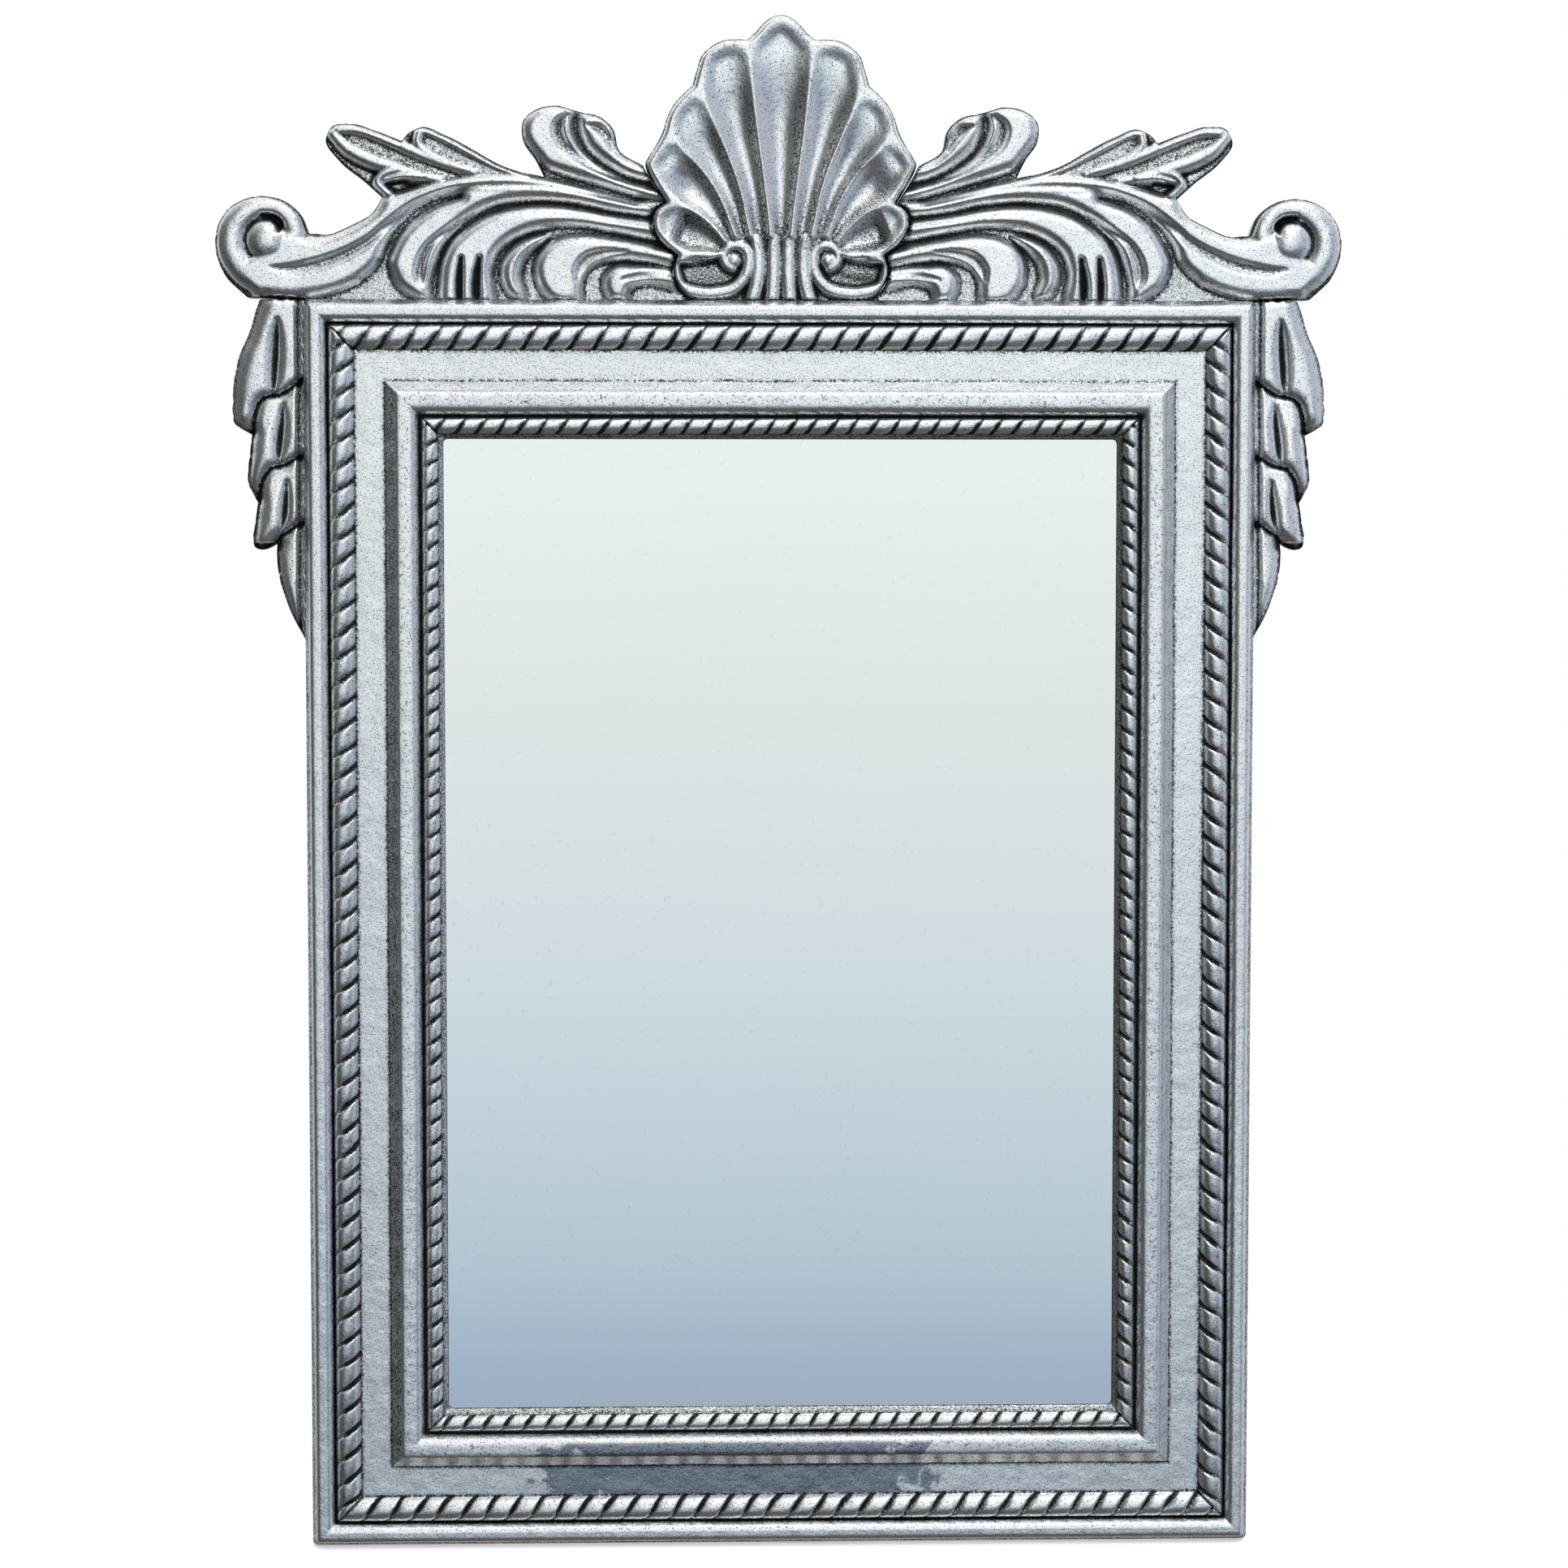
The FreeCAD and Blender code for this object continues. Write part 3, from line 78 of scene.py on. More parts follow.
# The moulding from the outer edge inwards, the depths of its parts, and its round corners.
EDGE_BEVEL = 2.2
BEAD_WIDTH = 6.5
ROPE_GAP = 2.6
OUTER_ROPE_WIDTH = 10.7
FLAT_WIDTH = 14.7
STEP_WIDTH = 2.8
ROLL_WIDTH = 10.1
INNER_GAP = 2.4
INNER_ROPE_WIDTH = 6.5
SIGHT_WIDTH = 2.5
WALL_DEPTH = 15.0
BEAD_SIDE_DEPTH = 18.2
BEAD_RISE = 1.8
ROPE_SEAT_DEPTH = 15.0
FLAT_DEPTH = 16.0
ROLL_SIDE_DEPTH = 19.4
ROLL_RISE = 1.6
ROLL_FOOT_DEPTH = 17.4
INNER_SEAT_DEPTH = 15.5
SIGHT_DEPTH = 12.2
GLASS_FRONT_DEPTH = 11.0
HOLLOW_DEPTH = 11.5
REBATE_BACK_DEPTH = 5.0
SIDE_WALL = 4.0
GLASS_OVERLAP = 5.5
OUTER_CORNER_RADIUS = 2.4
SIGHT_CORNER_RADIUS = 2.0

# Ropes: rise, distance from strand to strand, how far a groove leans, spacing of the mesh, how far a
# rope runs past its width and into its seat, and the cut at its mitres.
OUTER_ROPE_RISE = 5.0
INNER_ROPE_RISE = 3.2
OUTER_ROPE_PITCH = 10.5
INNER_ROPE_PITCH = 9.1
ROPE_LEAN = 0.62
ROPE_STEP = 0.55
ROPE_OVERLAP = 0.5
ROPE_SUNK = 0.4
MITRE_CUT = 0.9
MITRE_REACH = 0.9

# Bosses inside the hollow back.
BUTTON_BOSS_RADIUS = 4.5
BUTTON_INSET = 4.7
PAD_RADIUS = 7.0
PAD_INSET = 12.0
STRAP_WIDTH = 12.0
STRAP_SEAT_DEPTH = 4.5
STRAP_EYE = 6.0

# The casting's mesh: places close to a corner, the first one past them, the steps along a side, and the
# angle in degrees from which an edge is sharp.
CORNER_PLACES = (0.0, 0.5, 1.0, 1.7, 2.6, 3.8, 5.5)
SIDE_START = 8.0
SIDE_STEP = 3.5
SHARP_ANGLE = 50

# How far the casting's uneven lines stray, in two ripples.
RIPPLES = (0.16, 0.07)

# Ornaments.
GROUND_DEPTH = 9.0
STRAND_RISE = 5.0
VOLUTE_RISE = 6.4
SHELL_RIDGE_DEPTH = 15.9
SHELL_FOOT_DEPTH = 11.6
FOOT_SLOPE_RISE = 2.0
REED_RISE = 3.6
# Painted shade on one flank of each of the shell's flutes.
FLANK_PAINTED_SHADE = 0.34
LEAF_DEPTH = 11.9
LEAF_SEAM_INSET = 3.0
LOWEST_TIER = 4
TIER_STEP = 3.2
TIER_SLOPE = 24.0
CASTING_WALL = 3.2
GRID_STEP = 0.55

# How far in the face is rounded along each kind of edge, and how far or to which depth it falls there.
WING_ROUNDING = 5.0
WING_SEAM_ROUNDING = 0.7
WING_RIM_DEPTH = 4.5
SHELL_ROUNDING = 2.6
SHELL_FOOT_ROUNDING = 0.8
SHELL_RIM_DEPTH = 9.0
LEAF_ROUNDING = 7.5
LOWEST_TIER_ROUNDING = 4.2
LEAF_TOP_ROUNDING = 1.2
LEAF_SEAM_ROUNDING = 1.0
LEAF_EDGE_FALL = 5.2
LEAF_RIM_DEPTH = 3.0
LEAF_SEAM_FALL = 1.6

# The same for the wing's fills and strands and for the hollow backs, and the reach of the dark channel
# round the volute's ball.
FILL_ROUNDING = 2.5
STRAND_ROUNDING = 5.4
STRAND_SOFTNESS = 0.85
HOLLOW_ROUNDING = 7.0
VOLUTE_CHANNEL_REACH = 14.5

# Softening of a carved face in grid steps, and the spacing of points on its lines and outlines.
CARVING_BLUR = 0.9
LINE_STEP = 0.8
OUTLINE_STEP = 0.6

# Flutes: their depth before each half width adds to it, the share of it at the upper end, the room
# that they take in front of the hollow, and the shell's plain rim with what it gains towards the top.
FLUTE_DEPTH = 1.6
FLUTE_DEPTH_PER_WIDTH = 0.42
FLUTE_END_SHARE = 0.28
FLUTE_ROOM = 3.6
SHELL_RIM_WIDTH = 6.5
SHELL_RIM_GAIN = 2.5

# Patina of the moulding's step, and the painted shade that its left side gets on top of it.
STEP_TONE = 0.08
STEP_LEFT_PAINTED_SHADE = 0.23

# Patina of the castings' side walls at these shares of the face's depth, and of their backs.
WALL_LEVELS = (0.72, 0.36, 0.0)
WALL_TONES = (0.45, 0.22, 0.18)
BACK_TONE = 0.16

# Blurs in millimetres that find narrow and wide hollows.
NARROW_BLUR = 0.9
WIDE_BLUR = 2.6

# Patina on low ground: in the wing's lobes, round the volute's ball, in the shell's narrow valleys and
# between its reeds, and along the leaves' seam.
LOBE_PATINA = 0.26
CHANNEL_PATINA = 0.30
VALLEY_PATINA = 0.22
FOOT_PATINA = 0.22
SEAM_PATINA = 0.14

# Patina beside lines of the carving, and painted shade along the wings' and leaves' outer rims: how far
# it reaches, and its tone on the line.
SHELL_SIDE_PATINA = (2.4, 0.8)
WING_RIM_PAINTED_SHADE = (2.3, 0.50)
LEAF_RIM_PAINTED_SHADE = (2.6, 0.50)
TIER_PATINA = (3.4, 0.24)

# Grooves between the leaves' tiers and in their slots: share of the line's width, cut, and power.
TIER_GROOVES = ((1.8, 0.9, 2.0), (0.7, 1.0, 1.5))
SLOT_GROOVES = ((1.3, 1.5, 2.0), (0.34, 2.8, 1.0))

# Outlines and lines below are thousandths of the crest's reach and rise, outwards and upwards from the
# middle of the frame's top. A third number is half the width there, in thousandths of the reach.
wing_outline_shares = (
    ((944, 10), (960, 38), (980, 79), (993, 130), (999, 195), (993, 267), (975, 320), (943, 356),
     (905, 363), (872, 342), (848, 298), (835, 235)),
    ((835, 235), (800, 231), (759, 263), (721, 309), (705, 362)),
    ((705, 362), (738, 421), (780, 489), (803, 560), (794, 605), (758, 618), (715, 594), (670, 559)),
    ((670, 559), (657, 587), (635, 607), (593, 580), (539, 524), (499, 479), (463, 453), (419, 436)),
    ((419, 436), (434, 496), (456, 565), (454, 635), (430, 672), (399, 684), (357, 663), (317, 642),
     (297, 605), (286, 529), (244, 475)),
)
shell_side_shares = (
    ((244, 475), (239, 453), (226, 408), (205.8, 343)),
    ((205.8, 343), (222.8, 318), (228.8, 280), (225.8, 240), (211.8, 200), (185.8, 155)),
    ((185.8, 155), (190.8, 120), (190.8, 86), (181.8, 46), (160.8, 0)),
)
wing_foot_shares = (
    ((160.8, 0), (844, 0)),
    ((844, 0), (944, 10)),
)
wing_hollow_shares = ((250, 100), (250, 290), (330, 350), (600, 370), (680, 230), (640, 100))
shell_half_shares = (
    ((0, 999), (9, 997), (20, 987), (33, 965), (46, 936), (58, 915)),
    ((58, 915), (107, 905), (125, 885), (140, 855), (148, 810), (156, 752)),
    ((156, 752), (175, 717), (191, 680), (201, 640), (208, 593), (220, 545), (234, 500), (239.5, 477),
     (237, 456), (225, 410), (205, 343)),
    ((205, 343), (222, 318), (228, 280), (225, 240), (211, 200), (185, 155)),
    ((185, 155), (190, 120), (190, 86), (181, 46), (160, 0)),
)
shell_hollow_shares = (
    (130, 110), (160, 300), (150, 600), (90, 800), (-90, 800), (-150, 600), (-160, 300), (-130, 110))

# Raised strands of the wing, each between its two edges.
wing_pillow_shares = {
    "stem": ((930, 6), (860, 2), (810, 10), (780, 26), (750, 55), (722, 95), (706, 135), (698, 180),
        (684, 235), (659, 290), (622, 337), (570, 366), (520, 345), (470, 343), (420, 348), (360, 337),
        (300, 312), (230, 294), (180, 290), (180, 315), (215, 328), (260, 351), (300, 372), (340, 394),
        (380, 417), (419, 436), (470, 452), (530, 450), (580, 437), (630, 412), (670, 386), (705, 362),
        (714, 329), (740, 286), (779, 245), (822, 222), (850, 238), (880, 246), (900, 225), (915, 185),
        (940, 160), (962, 135), (968, 100)),
    "branch": ((567, 362), (618, 325), (648, 285), (673, 230), (688, 175), (695, 130), (691, 90), (680, 45),
        (660, 12), (640, -10), (622, -10), (617, 60), (607, 130), (595, 190), (575, 240), (540, 295),
        (500, 331), (440, 345), (360, 336), (300, 311), (230, 293), (180, 289), (180, 316), (300, 350),
        (400, 388), (480, 408), (530, 405), (560, 388)),
    "fingers": ((180, 268), (235, 285), (300, 302), (360, 326), (420, 337), (480, 325), (520, 300),
        (560, 250), (586, 200), (600, 140), (606, 70), (604, -20), (503, -20), (508, 110), (498, 165),
        (478, 202), (440, 237), (400, 252), (360, 256), (300, 238), (235, 213), (180, 200)),
    "crescent": ((405, 237), (440, 226), (478, 184), (497, 125), (496, 60), (482, 12), (466, -5), (450, 5),
        (458, 80), (452, 130), (436, 172), (418, 203)),
    "large_comma": ((180, 180), (240, 204), (300, 225), (360, 235), (390, 225), (420, 190), (436, 140),
        (438, 90), (430, 40), (408, -10), (352, -10), (347, 70), (337, 104), (312, 128), (280, 138),
        (240, 130), (180, 118)),
    "small_comma": ((180, 108), (220, 122), (260, 128), (298, 121), (316, 88), (318, 48), (304, -5),
        (270, -5), (262, 36), (240, 52), (180, 40)),
    "large_curl": ((412, 455), (421, 468), (434, 498), (448, 534), (459, 576), (459, 609), (452, 645),
        (438, 670), (420, 685), (399, 692), (376, 684), (363, 668), (368, 630), (364, 580), (351, 530),
        (331, 490), (301, 450), (270, 421), (235, 404), (200, 385), (200, 328), (230, 345), (260, 365),
        (300, 389), (340, 412), (380, 434)),
    "small_curl": ((356, 668), (338, 658), (317, 648), (300, 623), (292, 600), (289, 567), (283, 529),
        (270, 502), (250, 484), (200, 450), (200, 398), (235, 414), (268, 431), (298, 460), (327, 500),
        (345, 538), (355, 580), (359, 630)),
}
wing_strand_shares = {
    "volute_rim": ((760, 100, 26), (800, 70, 27), (850, 52, 27), (905, 60, 27), (946, 104, 27),
        (968, 180, 27), (966, 246, 26), (946, 300, 24), (914, 326, 21), (884, 314, 20), (864, 275, 21),
        (858, 228, 22), (874, 204, 23), (895, 205, 22)),
    "leaf_upper_rim": ((540, 445, 9), (600, 480, 12), (650, 520, 13), (700, 564, 13), (745, 592, 12),
        (780, 592, 10)),
    "leaf_lower_rim": ((600, 420, 9), (650, 440, 13), (690, 466, 15), (735, 498, 16), (768, 535, 14),
        (788, 578, 11)),
    "second_left_rim": ((550, 452, 9), (590, 478, 10), (622, 512, 11), (640, 550, 11), (637, 585, 10)),
    "second_right_rim": ((450, 440, 9), (490, 468, 12), (530, 505, 13), (570, 545, 13), (605, 578, 12),
        (632, 593, 10)),
    "small_lobe": ((690, 368, 9), (704, 390, 10), (711, 415, 10), (702, 437, 10), (672, 455, 10)),
    "small_lobe_tail": ((700, 418, 6), (670, 432, 8), (630, 430, 8)),
}
wing_groove_shares = {
    "stem": ((900, 112, 4), (870, 104, 11), (835, 113, 14), (800, 132, 14), (760, 166, 13), (720, 213, 12),
        (700, 250, 11), (660, 312, 10), (620, 352, 9), (560, 390, 8), (500, 402, 7), (420, 396, 6),
        (340, 372, 6), (220, 318, 5)),
    "branch": ((545, 300, 4), (588, 245, 8), (620, 190, 10), (635, 130, 13), (637, 75, 12), (634, 50, 6)),
    "fingers": ((230, 262, 4), (320, 283, 7), (400, 300, 6), (450, 298, 4)),
    "large_comma": ((270, 172, 4), (315, 165, 10), (345, 140, 13), (358, 105, 12), (362, 70, 6)),
    "small_comma": ((200, 88, 7), (250, 85, 9), (280, 72, 5)),
    "large_curl": ((378, 650, 6), (392, 605, 14), (387, 560, 14), (366, 510, 11), (335, 465, 7),
        (290, 425, 4)),
    "small_curl": ((338, 612, 6), (318, 598, 12), (306, 565, 10), (296, 528, 6)),
    "first_slot": ((568, -20, 8), (568, 70, 8), (565, 145, 5)),
    "second_slot": ((538, -20, 10), (538, 70, 10), (533, 145, 6)),
    "hook": ((915, 296, 6), (893, 286, 8), (884, 262, 9), (886, 238, 5)),
}
wing_groove_cuts = {"stem": 2.2, "branch": 2.6, "fingers": 0.8, "large_comma": 2.4, "small_comma": 1.5,
                    "large_curl": 3.4, "small_curl": 3.2, "first_slot": 4.6, "second_slot": 4.8, "hook": 3.4}
volute_ball = (906, 205, 40)
wing_fill_shares = {
    "volute": ((845, 100), (880, 70), (930, 90), (960, 150), (965, 230), (940, 300), (900, 325), (865, 290),
        (855, 220), (840, 160)),
    "first_leaf": ((560, 430), (620, 485), (680, 550), (740, 598), (785, 600), (792, 570), (765, 520),
        (720, 470), (690, 440), (640, 400)),
    "second_leaf": ((430, 430), (490, 475), (550, 538), (600, 582), (636, 596), (648, 560), (630, 500),
        (600, 455)),
}
wing_fill_rises = {"volute": 1.6, "first_leaf": 2.8, "second_leaf": 3.0}

shell_flute_shares = (
    ((0, 190, 12), (0, 300, 21), (0, 450, 31), (0, 600, 41), (0, 760, 50), (0, 880, 53)),
    ((34, 190, 12), (39, 260, 17), (53, 415, 23), (75, 590, 33), (93, 740, 43), (102, 830, 44)),
    ((62, 190, 8), (71, 250, 12), (89, 365, 20), (113, 465, 27), (141, 560, 35), (166, 640, 38)),
    ((88, 205, 7), (104, 262, 14), (127, 333, 25), (160, 405, 36), (200, 475, 37)),
    ((104, 180, 10), (128, 208, 22), (156, 232, 34), (190, 258, 37)),
    ((110, 110, 12), (135, 108, 20), (160, 110, 22)),
)
# How much of each flute rises towards its upper end, as a share of its length.
flute_fades = (0.44, 0.44, 0.44, 0.34, 0.20, 0.20)
shell_foot_shares = (
    (0, 216), (75, 216), (98, 196), (104, 155), (135, 130), (170, 125), (205, 120), (205, -20), (0, -20))
reed_shares = (
    ((16, -10, 14.5), (14, 50, 14.5), (13, 100, 14.5), (13, 160, 14), (13, 212, 13)),
    ((52, -10, 14.5), (44, 50, 14.5), (40, 100, 14.5), (40, 160, 14), (44, 212, 13)),
)
scroll_shares = (
    (190, 150, 10), (187, 98, 11), (179, 50, 12), (150, 27, 12.5), (115, 24, 13), (83, 42, 12.5),
    (63.5, 85, 12), (57, 137, 11.5), (61, 174, 11), (76, 192, 10.5), (93, 184, 10), (101.5, 155, 9.5),
    (96, 124, 10), (86.5, 112, 10))
scroll_ball = (83.5, 138, 15)

# The side leaf, in thousandths of its reach and drop, outwards and downwards from the frame's upper corner.
leaf_outline_shares = (
    ((0, -3), (617, -3)),
    ((617, -3), (700, 50), (776, 100), (880, 148), (946, 197), (985, 246), (998, 295), (996, 335),
     (970, 358), (910, 368), (747, 388)),
    ((747, 388), (768, 440), (794, 490), (797, 520), (782, 540), (739, 555), (675, 585)),
    ((675, 585), (690, 620), (715, 660), (738, 700), (720, 716), (643, 724), (500, 717), (414, 706)),
    ((414, 706), (411, 735), (402, 765), (352, 824), (226, 902), (44, 980), (0, 998)),
    ((0, 998), (0, -3)),
)
leaf_slot_shares = (
    ((365, 55, 50), (378, 98, 110), (393, 147, 135), (409, 196, 135), (424, 245, 110), (440, 272, 60)),
    ((306, 300, 50), (321, 353, 105), (341, 392, 125), (362, 441, 115), (380, 476, 60)),
    ((262, 525, 50), (277, 588, 100), (302, 637, 105), (340, 668, 60)),
)
leaf_hollow_shares = ((250, 120), (550, 120), (550, 330), (250, 330))
leaf_boundary_shares = (
    ((-50, 215, 55), (32, 226, 60), (122, 240, 65), (234, 257, 70), (347, 270, 70), (458, 273, 70),
     (570, 279, 75), (649, 296, 80), (708, 333, 85), (746, 387, 90)),
    ((-50, 436, 55), (29, 446, 60), (141, 456, 65), (254, 471, 70), (366, 479, 70), (477, 483, 75),
     (570, 505, 80), (640, 540, 85), (675, 585, 90)),
    ((-50, 632, 55), (36, 642, 60), (159, 655, 65), (272, 672, 70), (350, 680, 75), (414, 706, 80)),
)


# Curves and height fields.
def smooth_line(points, spacing=0.5):
    """Even places on a smooth curve through the points; further columns are carried along."""
    points = np.array(points, float)
    place = np.concatenate(([0.0], np.cumsum(np.linalg.norm(np.diff(points[:, :2], axis=0), axis=1))))
    slopes = np.gradient(points, place, axis=0)
    where = np.linspace(0, place[-1], max(int(place[-1] / spacing), 2) + 1)
    k = np.clip(np.searchsorted(place, where, side="right") - 1, 0, len(place) - 2)
    span = (place[k + 1] - place[k])[:, None]
    t = (where - place[k])[:, None] / span
    return ((2 * t**3 - 3 * t**2 + 1) * points[k] + (t**3 - 2 * t**2 + t) * span * slopes[k]
            + (3 * t**2 - 2 * t**3) * points[k + 1] + (t**3 - t**2) * span * slopes[k + 1])


def scaled(shares, across, upward):
    """Thousandths as millimetres: places along both axes and, where given, half a width."""
    factors = (across, upward, abs(across))
    return [tuple(value / 1000 * factor for value, factor in zip(row, factors)) for row in shares]


def on_crest(shares):
    return scaled(shares, CREST_REACH, CREST_RISE)


def on_leaf(shares):
    return scaled(shares, LEAF_REACH, -LEAF_DROP)


def spot(place):
    """A round spot as a line hardly longer than a point, from its (x, z, radius)."""
    x, z, radius = place
    return ((x, z, radius), (x + 1, z, radius))


def mirrored(shares):
    return tuple((-row[0],) + tuple(row[1:]) for row in shares)


def outline_of(curves, in_place):
    """A closed loop of points, anticlockwise, and the number of the curve that each point lies on."""
    pieces = [smooth_line(in_place(curve), OUTLINE_STEP)[:-1] for curve in curves]
    numbers = np.concatenate([np.full(len(piece), number) for number, piece in enumerate(pieces)])
    loop = np.concatenate(pieces)
    following = np.roll(loop, -1, axis=0)
    if np.sum(loop[:, 0] * following[:, 1] - following[:, 0] * loop[:, 1]) < 0:
        return loop[::-1], numbers[::-1]
    return loop, numbers


def blurred(field, radius):
    """The field smoothed over a radius given in grid steps."""
    reach = int(3 * radius) + 1
    weights = np.exp(-0.5 * (np.arange(-reach, reach + 1) / radius) ** 2)
    weights /= weights.sum()
    for axis in (0, 1):
        margin = [(reach, reach) if axis == side else (0, 0) for side in (0, 1)]
        padded = np.pad(field, margin, mode="edge")
        count = field.shape[axis]
        field = sum(weight * np.take(padded, range(start, start + count), axis)
                    for start, weight in enumerate(weights))
    return field


def smoothstep(value):
    value = np.clip(value, 0, 1)
    return value * value * (3 - 2 * value)


def shoulder(value, softness=0.5):
    """A rise from 0 at the edge to 1: a quarter round at softness 0.5, a parabola at 1."""
    return (1 - (1 - np.clip(value, 0, 1)) ** 2) ** softness


class Relief:
    """A carved face over an outline, as depths on a grid."""

    def __init__(self, outline, ground):
        self.outline = outline
        self.step = GRID_STEP
        low = outline.min(0) - 3 * self.step
        high = outline.max(0) + 4 * self.step
        self.xs = np.arange(low[0], high[0], self.step)
        self.zs = np.arange(low[1], high[1], self.step)
        self.x, self.z = np.meshgrid(self.xs, self.zs, indexing="ij")
        self.depth = np.full(self.x.shape, float(ground))

    def window(self, line, reach):
        """The part of the grid round a line."""
        first = np.searchsorted(self.xs, line[:, 0].min() - reach)
        last = np.searchsorted(self.xs, line[:, 0].max() + reach)
        bottom = np.searchsorted(self.zs, line[:, 1].min() - reach)
        top = np.searchsorted(self.zs, line[:, 1].max() + reach)
        return slice(first, last), slice(bottom, top)

    def nearness(self, line, half):
        """How far the grid round a line lies from it, in its half widths, and its nearest place."""
        if isinstance(half, float):
            half = np.full(len(line), half, np.float32)
        part = self.window(line, float(np.max(half)) + self.step)
        x = self.x[part].astype(np.float32)
        z = self.z[part].astype(np.float32)
        best = np.full(x.shape, np.inf, np.float32)
        place = np.zeros(x.shape, int)
        for k, (px, pz) in enumerate(line[:, :2]):
            ratio = ((x - px) ** 2 + (z - pz) ** 2) / half[k] ** 2
            nearer = ratio < best
            best[nearer] = ratio[nearer]
            place[nearer] = k
        return part, np.sqrt(best), place

    def inside(self, loop):
        """Which grid points lie inside a closed loop."""
        result = np.zeros(self.x.shape, bool)
        ends = np.roll(loop, -1, axis=0)
        for k, x in enumerate(self.xs):
            crossing = (loop[:, 0] > x) != (ends[:, 0] > x)
            start, end = loop[crossing], ends[crossing]
            slope = (end[:, 1] - start[:, 1]) / (end[:, 0] - start[:, 0])
            heights = np.sort(start[:, 1] + (x - start[:, 0]) * slope)
            result[k] = np.searchsorted(heights, self.zs) % 2 == 1
        return result

    def raise_strand(self, stations, root, rise, fullness=2.2):
        """A domed strand along a line of (x, z, half width)."""
        line = smooth_line(stations, LINE_STEP)
        part, ratio, place = self.nearness(line, line[:, 2])
        height = rise * np.sqrt(line[place, 2] / line[:, 2].max())
        dome = root + height * np.clip(1 - ratio**fullness, 0, 1) ** 0.5
        self.depth[part] = np.where(ratio < 1, np.maximum(self.depth[part], dome), self.depth[part])

    def raise_pillow(self, corners, root, rise, rounding, softness=0.5):
        """A strand with rounded sides inside a closed curve; softness as for round_outline."""
        loop = smooth_line(list(corners) + [corners[0]], LINE_STEP)
        inner = self.inside(loop[:-1])
        part, ratio, _ = self.nearness(loop, rounding)
        top = np.full(self.x.shape, root + rise)
        top[part] = root + rise * shoulder(ratio, softness)
        self.depth = np.where(inner, np.maximum(self.depth, top), self.depth)

    def sink_groove(self, stations, cut, power=1.5):
        """A groove with a round bottom along a line of (x, z, half width)."""
        line = smooth_line(stations, LINE_STEP)
        part, ratio, place = self.nearness(line, line[:, 2])
        share = line[place, 2] / line[:, 2].max()
        self.depth[part] -= cut * share * np.clip(1 - ratio**2, 0, 1) ** power

    def sink_valley(self, line, grooves):
        """Grooves of several widths along one line, as (share of the width, cut, power)."""
        for share, cut, power in grooves:
            self.sink_groove(line * (1, 1, share), cut, power)

    def round_outline(self, roundings, low, high, softness=0.5):
        """Lets the face fall to a lower depth along the outline."""
        part, ratio, _ = self.nearness(self.outline, roundings)
        cap = low + (high - low) * shoulder(ratio, softness)
        self.depth[part] = np.where(ratio < 1, np.minimum(self.depth[part], cap), self.depth[part])

    def sample(self, field, points):
        """The field's values at any points."""
        across = np.clip((points[:, 0] - self.xs[0]) / self.step, 0, len(self.xs) - 1.001)
        upward = np.clip((points[:, 1] - self.zs[0]) / self.step, 0, len(self.zs) - 1.001)
        i, j = across.astype(int), upward.astype(int)
        u, v = across - i, upward - j
        return ((1 - u) * (1 - v) * field[i, j] + u * (1 - v) * field[i + 1, j]
                + (1 - u) * v * field[i, j + 1] + u * v * field[i + 1, j + 1])


def filled(relief, stride):
    """Points and triangles that fill the outline, with the outline's own points first."""
    part, ratio, _ = relief.nearness(relief.outline, relief.step * 0.55)
    clear = np.ones(relief.x.shape, bool)
    clear[part] = ratio >= 1
    chosen = relief.inside(relief.outline) & clear
    coarse = np.zeros(chosen.shape, bool)
    coarse[::stride, ::stride] = True
    chosen &= coarse
    points = np.concatenate([relief.outline, np.column_stack([relief.x[chosen], relief.z[chosen]])])
    count = len(relief.outline)
    edges = [(k, (k + 1) % count) for k in range(count)]
    found = delaunay_2d_cdt([Vector(point) for point in points.tolist()], edges, [], 1, 1e-5)
    return np.array([tuple(point) for point in found[0]]), np.array(found[2]), count


def placed(name, data):
    """A new object in the scene."""
    made = bpy.data.objects.new(name, data)
    bpy.context.scene.collection.objects.link(made)
    return made


def add_mesh(name, points, faces, patina_and_painted_shade):
    """A mesh object from points in millimetres as (x, depth, z)."""
    mesh = bpy.data.meshes.new(name)
    place = np.column_stack([points[:, 0], RIM_Y - points[:, 1], points[:, 2]]) * MM
    mesh.from_pydata(place.tolist(), [], [tuple(face) for face in faces])
    mesh.update()
    mesh.shade_smooth()
    # Per vertex: patina in the hollows, and painted shade in places.
    attribute = mesh.attributes.new("patina_and_painted_shade", "FLOAT", "POINT")
    attribute.data.foreach_set("value", np.asarray(patina_and_painted_shade, np.float32))
    return placed(name, mesh)


def band(upper, lower, count):
    """Faces between two closed rings of points, whose first points have these numbers."""
    following = [(k + 1) % count for k in range(count)]
    return [(upper + k, lower + k, lower + after, upper + after) for k, after in enumerate(following)]


def ring_at(loop, depth):
    """A flat loop of points, set at a depth."""
    return np.column_stack([loop[:, 0], np.full(len(loop), depth), loop[:, 1]])


def relief_patina(relief, ground, wide_share, low_share=0.30):
    """Dark where the face is lower than its surroundings, and over the lowest ground."""
    near = blurred(relief.depth, NARROW_BLUR / relief.step) - relief.depth
    wide = blurred(relief.depth, WIDE_BLUR / relief.step) - relief.depth
    low = smoothstep((ground + 1.2 - relief.depth) / 1.2)
    return np.clip(1.4 * near - 0.05, 0, 0.85) + np.clip(wide_share * wide, 0, 0.4) + low_share * low


def darken_near(relief, patina_and_painted_shade, line, reach, tone):
    """Darkens the face beside a line, for patina and for painted shade: all of the tone on it and none from
    its reach on.
    """
    part, ratio, _ = relief.nearness(line, reach)
    patina_and_painted_shade[part] += tone * smoothstep(1 - ratio)


